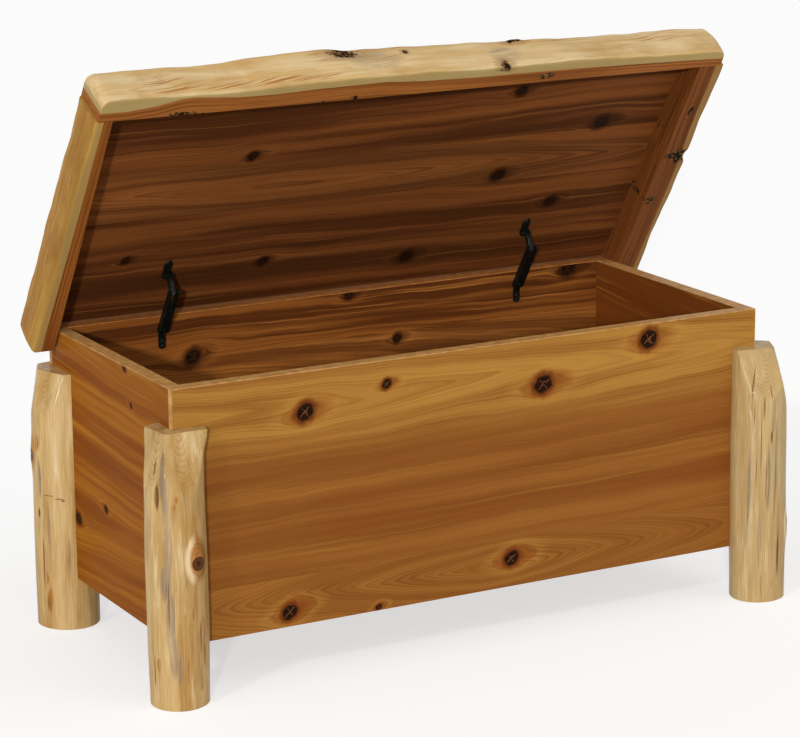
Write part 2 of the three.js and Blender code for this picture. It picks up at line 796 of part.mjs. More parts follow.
function addStay(side, x) {
  const cosine = Math.cos(openAngle);
  const sine = Math.sin(openAngle);
  const footPin = {
    forward: stayFoot.along * cosine + stayFoot.under * sine,
    up: stayFoot.along * sine - stayFoot.under * cosine,
  };
  const elbow = { forward: stayElbow.forward - footPin.forward, up: stayElbow.up - footPin.up };
  const atHinge = (forward, up) => [x, axisBack - forward, axisHeight + up];

  const bracket = add(chest, `stay_bracket_${side}`, bracketGeometry(), "black");
  bracket.position.set(...atHinge(0, 0));
  const basePin = add(chest, `stay_base_pin_${side}`, rivet(stayWidth), "black");
  basePin.position.set(...atHinge(stayBase.forward, stayBase.up));
  const channel = add(chest, `stay_channel_${side}`, channelGeometry(), "black");
  channel.position.copy(basePin.position);
  channel.rotation.x = -channelLean;
  const arm = add(chest, `stay_arm_${side}`, armGeometry(elbow), "black");
  arm.position.set(...atHinge(footPin.forward, footPin.up));
  const elbowPin = add(chest, `stay_elbow_pin_${side}`, rivet(stayWidth), "black");
  elbowPin.position.set(...atHinge(stayElbow.forward, stayElbow.up));
  const foot = add(lid, `stay_foot_${side}`, footGeometry(), "black");
  foot.position.set(x, 0, 0);
  const pin = add(lid, `stay_foot_pin_${side}`, rivet(stayWidth), "black");
  pin.position.set(x, -stayFoot.along, -stayFoot.under);

  bracketScrewDrops.forEach((drop, index) => {
    const length = bracketPlate + 2 * fit + stayScrewBite;
    const head = add(chest, `stay_bracket_screw_${side}_${index + 1}`, screw(stayScrew, length), "black");
    head.position.set(...atHinge(backInner + bracketPlate + 2 * fit, stayBase.up - drop));
    head.rotation.x = Math.PI / 2;
  });
  const length = footPlate + 2 * fit + stayScrewBite / 2;
  const footScrew = add(lid, `stay_foot_screw_${side}`, screw(stayScrew, length), "black");
  footScrew.position.set(x, -(stayFoot.along + footScrewAlong), lidBase - footPlate - 2 * fit);
  footScrew.rotation.x = Math.PI;
}

addLongPanel("front", -1);
addLongPanel("back", 1);
addSidePanel("left", -1);
addSidePanel("right", 1);
addFloor();
Object.entries(corners).forEach(([place, corner]) => addLeg(place, corner));
addLidPanel();
addFrontRail();
addSideRail("left", -1);
addSideRail("right", 1);
addHinge();
Object.entries(stayPlaces).forEach(([side, x]) => addStay(side, x));

// The origin is under the middle of the chest, on the floor
chest.updateMatrixWorld(true);
const reach = new THREE.Box3().setFromObject(chest, true);
const middle = reach.getCenter(new THREE.Vector3());
chest.position.set(-middle.x, -middle.y, -reach.min.z);

export default chest;
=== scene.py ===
import json
import math

import bmesh
import bpy
import numpy as np
from mathutils import Matrix, Vector


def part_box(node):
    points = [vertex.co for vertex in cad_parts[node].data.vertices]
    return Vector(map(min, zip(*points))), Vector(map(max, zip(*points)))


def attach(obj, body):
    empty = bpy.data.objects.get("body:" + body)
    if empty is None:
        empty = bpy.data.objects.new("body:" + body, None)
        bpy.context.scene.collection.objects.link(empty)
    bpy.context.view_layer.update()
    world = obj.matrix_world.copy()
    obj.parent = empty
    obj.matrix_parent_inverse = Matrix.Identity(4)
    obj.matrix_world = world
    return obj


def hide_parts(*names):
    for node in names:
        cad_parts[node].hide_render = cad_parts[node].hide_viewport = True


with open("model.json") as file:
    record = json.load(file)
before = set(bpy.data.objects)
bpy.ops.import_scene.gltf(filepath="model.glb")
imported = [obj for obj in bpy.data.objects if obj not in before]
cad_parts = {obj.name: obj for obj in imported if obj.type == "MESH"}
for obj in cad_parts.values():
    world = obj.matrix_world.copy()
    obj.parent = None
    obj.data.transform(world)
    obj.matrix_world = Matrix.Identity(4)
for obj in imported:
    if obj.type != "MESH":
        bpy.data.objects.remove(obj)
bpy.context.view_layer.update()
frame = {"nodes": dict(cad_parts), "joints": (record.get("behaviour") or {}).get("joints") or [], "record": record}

# Lengths are metres, in the frame's own axes. The lid's own axes run from its hinge line: X, forwards, up.
MM = 0.001
FIT = 0.3 * MM
front_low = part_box("front_panel")[0]
left_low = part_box("left_panel")[0]
back_low, back_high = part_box("back_panel")
right_low, right_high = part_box("right_panel")
lid_joint = next(joint for joint in frame["joints"] if joint["name"] == "lid_hinge")
HINGE = Vector(lid_joint["pos_m"])
LID_OPEN = math.radians(-min(lid_joint["range_deg"]))
BOX_LEFT, BOX_RIGHT = left_low[0], right_high[0]
BOX_FRONT, BOX_BACK = front_low[1], back_high[1]
PANEL_FOOT = front_low[2]

# Edges that turn by less than these angles, in degrees, are shaded as one surface
PLAIN_SMOOTH, LOG_SMOOTH, RAIL_SMOOTH, METAL_SMOOTH = 40, 35, 38, 32


# Shapes: small helpers
def link_object(name, data):
    item = bpy.data.objects.new(name, data)
    bpy.context.scene.collection.objects.link(item)
    return item


def new_piece(name, points, faces, smooth_angle=PLAIN_SMOOTH):
    mesh = bpy.data.meshes.new(name)
    mesh.from_pydata([tuple(point) for point in points], [], [tuple(face) for face in faces])
    mesh.validate()
    piece = link_object(name, mesh)
    shade(piece, smooth_angle)
    return piece


def shade(piece, smooth_angle):
    piece.data.shade_smooth()
    piece.data.set_sharp_from_angle(angle=math.radians(smooth_angle))


def spline(shares, places):
    """Catmull-Rom values through evenly spaced shares, at places from 0 to 1."""
    shares = np.asarray(shares, float)
    last = len(shares) - 1
    spot = np.clip(places, 0, 1) * last
    low = np.minimum(np.floor(spot).astype(int), last - 1)
    part = spot - low
    before, start = shares[np.maximum(low - 1, 0)], shares[low]
    end, after = shares[low + 1], shares[np.minimum(low + 2, last)]
    run, turn = (end - before) / 2, (after - start) / 2
    return ((2 * start - 2 * end + run + turn) * part**3
            + (-3 * start + 3 * end - 2 * run - turn) * part**2 + run * part + start)


def smoothstep(values, low, high):
    share = np.clip((values - low) / (high - low), 0, 1)
    return share * share * (3 - 2 * share)


def soft_min(first, second, blend):
    """The lesser of two lengths, rounded over blend where they cross."""
    part = np.clip(0.5 + 0.5 * (second - first) / blend, 0, 1)
    return second + (first - second) * part - blend * part * (1 - part)


def ripples(along, around, seed, count):
    """Smooth unevenness from -1 to 1, from a few waves of seeded lengths."""
    source = np.random.default_rng(seed)
    total = 0
    for _ in range(count):
        a, b = source.uniform(0.6, 2.4), source.integers(1, 5)
        total = total + np.sin(a * along + b * around + source.uniform(0, 6.28))
    return total / count


def rounding(from_edge, radius):
    """How far a rounded edge falls back, at this distance from where it ends."""
    inside = max(0.0, radius - from_edge)
    return radius - math.sqrt(max(radius**2 - inside**2, 0))


def ring_faces(rings, sides, first=0):
    faces = []
    for ring in range(rings - 1):
        for side in range(sides):
            a = first + ring * sides + side
            b = first + ring * sides + (side + 1) % sides
            faces.append((a, b, b + sides, a + sides))
    return faces


def cut_away(piece, low, high):
    """Takes a block out of a piece with an exact boolean, applied to its mesh."""
    corners = [(x, y, z) for z in (low[2], high[2]) for y in (low[1], high[1]) for x in (low[0], high[0])]
    sides = [(0, 2, 3, 1), (4, 5, 7, 6), (0, 1, 5, 4), (2, 6, 7, 3), (0, 4, 6, 2), (1, 3, 7, 5)]
    block = new_piece("cutter", corners, sides)
    cut = piece.modifiers.new("notch", "BOOLEAN")
    cut.operation, cut.solver, cut.object = "DIFFERENCE", "EXACT", block
    solved = piece.evaluated_get(bpy.context.evaluated_depsgraph_get())
    mesh = bpy.data.meshes.new_from_object(solved)
    piece.modifiers.clear()
    piece.data = mesh
    bpy.data.objects.remove(block, do_unlink=True)


def break_edges(node, name, width):
    """Rounds the sharp edges of a node's own solid a little."""
    edges = frame["nodes"][node].modifiers.new(name, "BEVEL")
    edges.width, edges.segments = width, 2
    edges.limit_method, edges.angle_limit = "ANGLE", math.radians(50)


# Legs: peeled logs with hewn tops, notched round the box's corners.
# foot and top are the axis's distances in from the corner, as shares of the radius, and girths are shares
# of it from the foot up. A hewn facet is (facing, tilt, reach), and a dent (facing, height, width, length,
# depth). Facings and tilts are degrees.
LEG_RADIUS = 50 * MM
LEG_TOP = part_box("leg_front_left")[1][2]
LEG_SIDES, LEG_RINGS, NOTCH_REACH = 128, 180, 4
EDGE_ON, FAR_OFF = 0.05, 1.0
SAW_CHAMFER = 1.2 * MM
CAP_SHARES = (0.98, 0.8, 0.55, 0.3)
DRAWN_DEPTH = 0.45 * MM
PIT_EDGE, PIT_FLOOR, PIT_DEPTH = 8.5 * MM, 6 * MM, 1.6 * MM
DENT_WOBBLE = 1.5 * MM
HEWN_BLEND, SCOOP_DEPTH, SCOOP_REACH = 1.6 * MM, 1.2 * MM, 90 * MM
LEGS = {
    "front_left": {
        "corner": (BOX_LEFT, BOX_FRONT),
        "foot": (0.06, 0), "top": (0.04, 0),
        "girths": (0.97, 1, 1, 0.965, 0.95), "flare": 0.12, "turn": 0.4,
        "knots": [{"facing": 287, "height": 243 * MM, "swell": 5 * MM, "width": 13 * MM}],
        "hewn": [(268, 15, 0.43), (186, 12, 0.52)],
        "dents": [(209, 355 * MM, 6 * MM, 20 * MM, 1.0 * MM), (191, 396 * MM, 4 * MM, 14 * MM, 1.5 * MM)],
    },
    "front_right": {
        "corner": (BOX_RIGHT, BOX_FRONT),
        "foot": (-0.06, -0.34), "top": (0.02, -0.26),
        "girths": (0.965, 0.99, 1, 0.99, 0.97), "flare": 0, "turn": 1.7, "weathered": 0.5,
        "knots": [{"facing": 330, "height": 126 * MM, "swell": 3 * MM, "width": 17 * MM}],
        "hewn": [(255, 20, 0.36), (268, 37, 0.25), (335, 13, 0.53)],
        "dents": [(222, 385 * MM, 3 * MM, 60 * MM, 1.2 * MM), (236, 300 * MM, 2.5 * MM, 70 * MM, 1.0 * MM)],
    },
    "rear_left": {
        "corner": (BOX_LEFT, BOX_BACK),
        "foot": (0.07, 0.79), "top": (0.07, 0.79),
        "girths": (1.07, 1.08, 1.08, 1.08, 1.06), "flare": 0, "turn": 2.9,
        "knots": [{"facing": 166, "height": 303 * MM, "swell": 2.9 * MM, "width": 14 * MM}],
        "hewn": [(160, 11, 0.78), (200, 16, 0.66)],
        "dents": [],
    },
    "rear_right": {
        "corner": (BOX_RIGHT, BOX_BACK),
        "foot": (0.1, 0.72), "top": (0.06, 0.76),
        "girths": (1.04, 1.05, 1.06, 1.05, 1.03), "flare": 0.03, "turn": 4.1, "weathered": 0.2,
        "knots": [{"facing": 40, "height": 180 * MM, "swell": 3 * MM, "width": 17 * MM}],
        "hewn": [(10, 9, 0.8), (70, 16, 0.7)],
        "dents": [(20, 300 * MM, 3 * MM, 60 * MM, 1.0 * MM)],
    },
}


def outward(leg):
    """The signs of X and Y that point away from the box at this leg."""
    x, y = leg["corner"]
    return (-1 if x < 0 else 1), (-1 if y < 0 else 1)


def leg_axis(leg, share):
    (sign_x, sign_y), (x, y) = outward(leg), leg["corner"]
    foot, top = leg["foot"], leg["top"]
    across = LEG_RADIUS * (foot[0] + (top[0] - foot[0]) * share)
    deep = LEG_RADIUS * (foot[1] + (top[1] - foot[1]) * share)
    return x - sign_x * across, y - sign_y * deep


def turned(angle, facing):
    """The angle from a facing in degrees, from minus pi to pi."""
    away = angle - math.radians(facing)
    return np.arctan2(np.sin(away), np.cos(away))


def log_radius(leg, angle, height):
    share, turn = height / LEG_TOP, leg["turn"]
    wave = (0.012 * np.sin(2 * angle + turn + share) + 0.010 * np.sin(3 * angle + 2 * turn - 2 * share)
            + 0.006 * np.sin(7 * share + turn + angle))
    flare = leg["flare"] * smoothstep(share, 0.9, 1)
    radius = LEG_RADIUS * (spline(leg["girths"], share) + wave + flare)
    drawn = (ripples(9 * share, angle * 3, int(turn * 10), 7) - 1) * DRAWN_DEPTH
    radius = radius + drawn * (1 - 0.5 * smoothstep(share, 0.8, 1))
    for knot in leg["knots"]:
        around = turned(angle, knot["facing"]) * LEG_RADIUS
        away = np.sqrt(around**2 + (0.8 * (height - knot["height"])) ** 2)
        radius = radius + knot["swell"] * np.exp(-((away / knot["width"]) ** 2) / 2)
        radius = radius - smoothstep(away, PIT_EDGE, PIT_FLOOR) * PIT_DEPTH
    for facing, at, wide, tall, depth in leg["dents"]:
        around = turned(angle, facing) * LEG_RADIUS
        wobble = DENT_WOBBLE * np.sin(height * 140 + facing)
        radius = radius - depth * np.exp(-(((around + wobble) / wide) ** 2) - ((height - at) / tall) ** 2)
    return radius


def hewn_limit(leg, facet, angle, height):
    """How far from the log's axis a hewn facet's plane lies."""
    facing, tilt, reach = facet
    lean = math.tan(math.radians(tilt))
    top, axis = leg_axis(leg, 1), leg_axis(leg, height / LEG_TOP)
    way = (math.cos(math.radians(facing)), math.sin(math.radians(facing)))
    shift = (axis[0] - top[0]) * way[0] + (axis[1] - top[1]) * way[1]
    reach_here = LEG_RADIUS * reach + (LEG_TOP - height) * lean - shift
    scoop = SCOOP_DEPTH * np.sin(np.pi * np.clip((LEG_TOP - height) / SCOOP_REACH, 0, 1))
    towards = np.cos(angle - math.radians(facing))
    return np.where(towards > EDGE_ON, (reach_here - scoop) / np.maximum(towards, EDGE_ON), FAR_OFF)


def cap_log(points, first, centre, height, upwards):
    """A saw cut across the log's end: rings that shrink to its axis, the first a small chamfer."""
    faces = []
    outer = np.array(points[first:first + LEG_SIDES])
    hub = np.array((centre[0], centre[1], height))
    rings = [first]
    for share in CAP_SHARES:
        rings.append(len(points))
        points += [tuple(point) for point in hub + (outer - hub) * share]
    lift = SAW_CHAMFER if upwards else -SAW_CHAMFER
    for side in range(LEG_SIDES):
        x, y, z = points[first + side]
        points[first + side] = (x, y, z - lift)
    points.append(tuple(hub))
    for side in range(LEG_SIDES):
        following = (side + 1) % LEG_SIDES
        for inner, outer_ring in zip(rings[1:], rings[:-1]):
            faces.append((outer_ring + side, outer_ring + following, inner + following, inner + side))
        faces.append((rings[-1] + side, rings[-1] + following, len(points) - 1))
    return faces if upwards else [face[::-1] for face in faces]


def notch_leg(piece, leg):
    (sign_x, sign_y), (x, y) = outward(leg), leg["corner"]
    reach = NOTCH_REACH * LEG_RADIUS
    near_x, far_x = x + sign_x * FIT, x - sign_x * reach
    near_y, far_y = y + sign_y * FIT, y - sign_y * reach
    low = (min(near_x, far_x), min(near_y, far_y), PANEL_FOOT - FIT)
    high = (max(near_x, far_x), max(near_y, far_y), LEG_TOP + reach)
    cut_away(piece, low, high)


def build_leg(name, leg):
    angles = np.linspace(0, 2 * np.pi, LEG_SIDES, endpoint=False)
    points = []
    for height in np.linspace(0, LEG_TOP, LEG_RINGS):
        radius = log_radius(leg, angles, height)
        for facet in leg["hewn"]:
            radius = soft_min(radius, hewn_limit(leg, facet, angles, height), HEWN_BLEND)
        x, y = leg_axis(leg, height / LEG_TOP)
        points += [(x + r * math.cos(a), y + r * math.sin(a), height) for r, a in zip(radius, angles)]
    faces = ring_faces(LEG_RINGS, LEG_SIDES)
    for first, height, upwards in ((0, 0.0, False), ((LEG_RINGS - 1) * LEG_SIDES, LEG_TOP, True)):
        faces += cap_log(points, first, leg_axis(leg, height / LEG_TOP), height, upwards)
    piece = new_piece(f"log_{name}", points, faces, LOG_SMOOTH)
    notch_leg(piece, leg)
    shade(piece, LOG_SMOOTH)
    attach(piece, "chest")
    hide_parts(f"leg_{name}")
    return piece


# Live edge rails: their outer faces follow the log that they were sawn from.
# low and high are the lower and upper edges' widths along the rail, as shares of RAIL_WIDTH, and heart is
# where the heartwood begins: (along, out). Marks are (along, up or in, half width, half height), with a
# depth more for pockets, all in millimetres. A wander wave is (share, rate, step of the seed).
RAIL_WIDTH = 40 * MM
LID_UNDER = 0.25 * MM
LID_TOP = 18.25 * MM
RAIL_FOOT = -48.75 * MM
RAIL_INNER = 560 * MM
FRONT_INNER = 503.5 * MM
RAIL_LEFT_END = -RAIL_INNER - 0.765 * RAIL_WIDTH
RAIL_RIGHT_END = RAIL_INNER + 1.2 * RAIL_WIDTH
SIDE_REAR = -10.5 * MM
RAIL_CORNER, SIDE_CORNER, SIDE_TRIM = 15 * MM, 6 * MM, 0.6
RAIL_LEAN = 6 * MM
LEFT_BROW, RIGHT_BROW, BROW_FROM = 1.5 * MM, 10 * MM, 0.4
ARRIS = 3.5 * MM
BELLY, WANDER, WANDER_RUN, FINE_WANDER = 2 * MM, 0.8 * MM, 0.2, 0.35 * MM
WANDER_WAVES = ((1, 4.3, 1), (0.7, 9.1, 2), (0.5, 17.7, 3))
FRONT_RINGS, CORNER_RINGS, CORNER_START, SIDE_RINGS = 420, 12, 0.02, 190
FLAT_SHARES = (0.0, 0.3, 0.6, 0.85)
EDGE_RISES = [0, 0.012, 0.03, 0.055, *np.linspace(0.09, 0.91, 22), 0.945, 0.97, 0.988, 1]
RAIL_SECTION = ([(share, 0.0) for share in FLAT_SHARES] + [(1.0, rise) for rise in EDGE_RISES]
                + [(share, 1.0) for share in FLAT_SHARES[::-1]])
RAILS = {
    "front": {
        "low": (1.12, 1.09, 1.02, 1.05, 1.15, 1.19, 1.14, 1.06, 1.11, 1.1, 0.99, 0.93, 0.85),
        "high": (1.1, 1.17, 1.12, 1.28, 1.43, 1.26, 1.15, 1.11, 1.03, 0.9, 0.89, 0.9, 0.78),
        "heart": ((-600, 18), (-551, 18), (-500, 24), (-463, 33), (-443, 35), (-420, 33), (-359, 28),
                  (-306, 27), (-235, 29), (-163, 31), (-89, 32), (-13, 27), (84, 24), (262, 24), (342, 23),
                  (446, 21), (552, 18), (610, 16)),
        "seed": 0.7,
        "pockets": [(-138, 8, 30, 11, 4), (192, 15, 14, 7, -3), (151, -45, 10, 9, 2), (-24, 1, 5, 4, 0.8)],
        "under_pockets": [(-443, 40, 22, 5), (-410, 43, 14, 3), (-183, 46, 6, 3), (-129, 44, 7, 4),
                          (240, 30, 16, 6)],
        "scratched": [(-455, -26, 75, 17), (-330, -36, 110, 8), (-200, -40, 60, 5), (-60, 14, 70, 6),
                      (240, 10, 90, 5), (500, 0, 70, 12)],
        "greyed": [(-80, -10, 45, 16), (160, -20, 30, 20)],
    },
    "left": {
        "low": (0.97, 0.92, 0.89, 0.86, 0.71),
        "high": (0.98, 0.96, 0.89, 0.84, 0.79),
        "heart": ((-11, 24), (150, 21), (249, 19), (380, 17), (504, 15)),
        "seed": 1.1,
        "pockets": [],
        "under_pockets": [],
        "scratched": [(150, -4, 170, 26), (400, -14, 110, 22)],
        "greyed": [],
    },
    "right": {
        "low": (1.37, 1.29, 1.33, 1.27, 1.25),
        "high": (1.2, 1.15, 1.18, 1.15, 1.15),
        "heart": ((-11, 41), (254, 41), (353, 35), (504, 33)),
        "seed": 3.1,
        "pockets": [(291, -42, 13, 9, 7)],
        "under_pockets": [(291, 15, 15, 23), (187, 42, 10, 9), (400, 30, 9, 5)],
        "scratched": [(150, 0, 100, 16)],
        "greyed": [],
    },
}


def live_edge(rail, place, along, rise):
    """How far out a rail's live edge is, at a share of its length and a share of its height."""
    low = RAIL_WIDTH * spline(rail["low"], place)
    high = RAIL_WIDTH * spline(rail["high"], place)
    turn, seed = along / WANDER_RUN, rail["seed"] + rise
    wander = sum(share * np.sin(rate * turn + step * seed) for share, rate, step in WANDER_WAVES)
    fine = ripples(along * 90, rise * 2, int(rail["seed"] * 10), 6) * FINE_WANDER
    width = low + (high - low) * rise + BELLY * np.sin(np.pi * rise) + WANDER * wander + fine
    up = RAIL_FOOT + (LID_TOP - RAIL_FOOT) * rise
    for at, height, wide, tall, depth in rail["pockets"]:
        away = ((along - at * MM) / (wide * MM)) ** 2 + ((up - height * MM) / (tall * MM)) ** 2
        width = width - depth * MM * np.exp(-(away**2))
    return float(width)


def lid_place(x, forward, up):
    """From the lid's own axes to the frame, with the lid as the frame holds it."""
    lean, rise = math.cos(LID_OPEN), math.sin(LID_OPEN)
    return (HINGE.x + x, HINGE.y - forward * lean + up * rise, HINGE.z + forward * rise + up * lean)


def rail_points(rail, place, along, trim):
    """One ring of a rail as (out, up, beyond the heartwood, in from the live edge)."""
    ring = []
    heart = float(np.interp(along / MM, *zip(*rail["heart"]))) * MM
    for share, rise in RAIL_SECTION:
        width = live_edge(rail, place, along, rise) - trim
        up = RAIL_FOOT + (LID_TOP - RAIL_FOOT) * rise
        out = share * (width - ARRIS)
        if share == 1:
            out = width - rounding(min(up - RAIL_FOOT, LID_TOP - up), ARRIS)
        ring.append((out, up, out - heart, width - out))
    return ring


def build_rail(name, node, rings, flip):
    """A closed skin over a rail's rings, with each point's place and depth in the rail as attributes."""
    sides = len(rings[0])
    points, inner, depth = ([spot[part] for ring in rings for spot in ring] for part in range(3))
    faces = ring_faces(len(rings), sides)
    for first, backwards in ((0, True), ((len(rings) - 1) * sides, False)):
        last = first + sides
        points.append(tuple(np.mean(points[first:last], axis=0)))
        inner.append(tuple(np.mean(inner[first:last], axis=0)))
        depth.append(float(np.mean(depth[first:last])))
        for side in range(sides):
            face = (first + side, first + (side + 1) % sides, len(points) - 1)
            faces.append(face[::-1] if backwards else face)
    if flip:
        faces = [face[::-1] for face in faces]
    piece = new_piece(name, points, faces, RAIL_SMOOTH)
    places = piece.data.attributes.new("rail_place", "FLOAT_VECTOR", "POINT")
    places.data.foreach_set("vector", np.array(inner, float).ravel())
    depths = piece.data.attributes.new("rail_depth", "FLOAT", "POINT")
    depths.data.foreach_set("value", np.array(depth, float))
    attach(piece, "lid")
    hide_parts(node)
    return piece


def build_front_rail():
    rail = RAILS["front"]
    half, middle = (RAIL_RIGHT_END - RAIL_LEFT_END) / 2, (RAIL_RIGHT_END + RAIL_LEFT_END) / 2
    offsets = list(np.linspace(-half + RAIL_CORNER, half - RAIL_CORNER, FRONT_RINGS))
    turns = np.linspace(CORNER_START, math.pi / 2, CORNER_RINGS)[:-1]
    ends = [half - RAIL_CORNER * (1 - math.cos(turn)) for turn in turns]
    offsets += ends + [-offset for offset in ends]
    rings = []
    for offset in sorted(offsets):
        trim = rounding(half - abs(offset), RAIL_CORNER)
        brow = RIGHT_BROW if offset > 0 else LEFT_BROW
        ring = []
        for out, up, beyond, depth in rail_points(rail, (offset / half + 1) / 2, offset, trim):
            rise = (up - RAIL_FOOT) / (LID_TOP - RAIL_FOOT)
            drop = RAIL_LEAN * (1 - rise) + brow * max(0.0, (rise - BROW_FROM) / (1 - BROW_FROM)) ** 2
            x = middle + offset * (1 - drop / half)
            ring.append((lid_place(x, FRONT_INNER + out, up), (x, beyond, up), depth))
        rings.append(ring)
    return build_rail("live_edge_front", "lid_rail_front", rings, True)


def build_side_rail(side, facing):
    rear, front = SIDE_REAR, FRONT_INNER - FIT
    rings = []
    for share in np.linspace(0, 1, SIDE_RINGS):
        along = rear + (front - rear) * share
        trim = rounding(along - rear, SIDE_CORNER) * SIDE_TRIM
        ring = []
        for out, up, beyond, depth in rail_points(RAILS[side], share, along, trim):
            ring.append((lid_place(facing * (RAIL_INNER + out), along, up), (along, beyond, up), depth))
        rings.append(ring)
    return build_rail(f"live_edge_{side}", f"lid_rail_{side}", rings, facing < 0)


# Lid stays, measured in millimetres from the hinge line: forwards, then up
STAY_PLACES = {"left": -357, "right": 357}
STAY_BASE, STAY_ELBOW, STAY_FOOT = (34, -24.3), (82, 50), (96, -9)
FOOT_PLATE, FOOT_WIDE, HEEL_WIDE, HEEL_BACK, TOE_OUT, WIDEST = 3, 16, 9, 8, 30, 0.58
FOOT_RINGS, TOE_SHARE, TOE_BLUNT = 15, 0.43, 0.02
EAR, EAR_OUT, EAR_ROUND = 2, 7, 5.5
ARM_WIDE, ARM_DEEP, ARM_SWELL, ARM_ROUND = 10, 10.5, 2.0, 5.5
ARM_RINGS, ARM_PAST, ARM_BOW, ARM_SKEW, ARM_TIP, ARM_BLUNT = 21, 0.155, 2.6, 1.2, 0.7, 0.03
BRACKET_WIDE, BRACKET_THICK, BRACKET_TOP, BRACKET_FOOT = 14, 2.5, -7.5, -35
LUG_WIDE, LUG_ROOT, LUG_ROUND = 9.4, -11, 5
END_STEPS, END_SWEEP = 7, 0.47 * math.pi
# How far in the broken arrises of each part reach
FOOT_ARRIS, EAR_ARRIS, ARM_ARRIS, BRACKET_ARRIS, LUG_ARRIS = 0.9, 0.4, 2.6, 0.7, 1.2


def chest_place(x, forward, up):
    return (HINGE.x + x, HINGE.y - forward, HINGE.z + up)


def strap(points, faces, place, x, path, wide, thick, edge):
    """Adds a bar with broken arrises along a path of (forwards, up) in millimetres."""
    first = len(points)
    ways = np.gradient(np.array(path, float), axis=0)
    ways /= np.linalg.norm(ways, axis=1)[:, None]
    for (forward, up), (run, rise), width, depth in zip(path, ways, wide, thick):
        half, deep = width / 2, depth / 2
        slope = min(edge, 0.45 * width, 0.45 * depth)
        ring = [(half, deep - slope), (half - slope, deep), (slope - half, deep), (-half, deep - slope)]
        ring += [(-side, -across) for side, across in ring]
        for side, across in ring:
            spot = (x + side, forward - rise * across, up + run * across)
            points.append(place(*(length * MM for length in spot)))
    faces += ring_faces(len(path), 8, first)
    faces += [tuple(range(first, first + 8)), tuple(range(len(points) - 8, len(points)))]


def along_line(start, end, shares):
    return [tuple(a + (b - a) * share for a, b in zip(start, end)) for share in shares]


def round_end(length, radius):
    """Shares of a length that crowd towards its far end, and the shares of the full width there."""
    turns = np.linspace(0, END_SWEEP, END_STEPS)
    shares = [0.0] + [1 - (radius / length) * (1 - math.sin(turn)) for turn in turns]
    return shares, [1.0] + [math.cos(turn) for turn in turns]


def stay_piece(name, body, node, points, faces):
    piece = new_piece(name, points, faces, METAL_SMOOTH)
    mended = bmesh.new()
    mended.from_mesh(piece.data)
    bmesh.ops.recalc_face_normals(mended, faces=mended.faces)
    mended.to_mesh(piece.data)
    mended.free()
    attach(piece, body)
    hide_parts(node)
    return piece


def foot_width(share):
    """The drop shape of the foot's plate: its width at a share of its length."""
    if share <= WIDEST:
        return HEEL_WIDE + (FOOT_WIDE - HEEL_WIDE) * share / WIDEST
    return FOOT_WIDE * math.sqrt(max(1 - ((share - WIDEST) / TOE_SHARE) ** 2, TOE_BLUNT))


def build_stay_foot(side, x):
    """A drop-shaped plate screwed under the lid, with an ear each side of the arm's pin."""
    points, faces = [], []
    level = (LID_UNDER - FIT) / MM - FOOT_PLATE / 2
    alongs = np.linspace(0, 1, FOOT_RINGS)
    path = along_line((STAY_FOOT[0] - HEEL_BACK, level), (STAY_FOOT[0] + TOE_OUT, level), alongs)
    wide = [foot_width(share) for share in alongs]
    strap(points, faces, lid_place, x, path, wide, [FOOT_PLATE] * len(path), FOOT_ARRIS)
    shares, widths = round_end(level - STAY_FOOT[1] + EAR_ROUND, EAR_ROUND)
    for ear in (-EAR_OUT, EAR_OUT):
        path = along_line((STAY_FOOT[0], level), (STAY_FOOT[0], STAY_FOOT[1] - EAR_ROUND), shares)
        thick = [2 * EAR_ROUND * width for width in widths]
        strap(points, faces, lid_place, x + ear, path, [EAR] * len(path), thick, EAR_ARRIS)
    return stay_piece(f"foot_{side}", "lid", f"stay_foot_{side}", points, faces)


def build_stay_arm(side, x):
    """A short bowed arm with soft edges, from the foot's pin to the elbow."""
    points, faces = [], []
    forward, up = STAY_FOOT
    start = (forward * math.cos(LID_OPEN) - up * math.sin(LID_OPEN),
             forward * math.sin(LID_OPEN) + up * math.cos(LID_OPEN))
    run, rise = STAY_ELBOW[0] - start[0], STAY_ELBOW[1] - start[1]
    length = math.hypot(run, rise)
    path, wide, thick = [], [], []
    for share in np.linspace(-ARM_PAST, 1 + ARM_PAST, ARM_RINGS):
        turn = math.pi * min(max(share, 0), 1)
        bow = (ARM_BOW * math.sin(turn) + ARM_SKEW * math.sin(2 * turn)) / length
        path.append((start[0] + run * share - rise * bow, start[1] + rise * share + run * bow))
        past = max(-share, share - 1, 0) * length / ARM_ROUND
        close = math.sqrt(max(1 - past**2, ARM_BLUNT))
        wide.append(ARM_WIDE * (ARM_TIP + (1 - ARM_TIP) * close))
        thick.append((ARM_DEEP + ARM_SWELL * math.sin(turn)) * close)
    strap(points, faces, chest_place, x, path, wide, thick, ARM_ARRIS)
    return stay_piece(f"arm_{side}", f"stay_arm_{side}", f"stay_arm_{side}", points, faces)


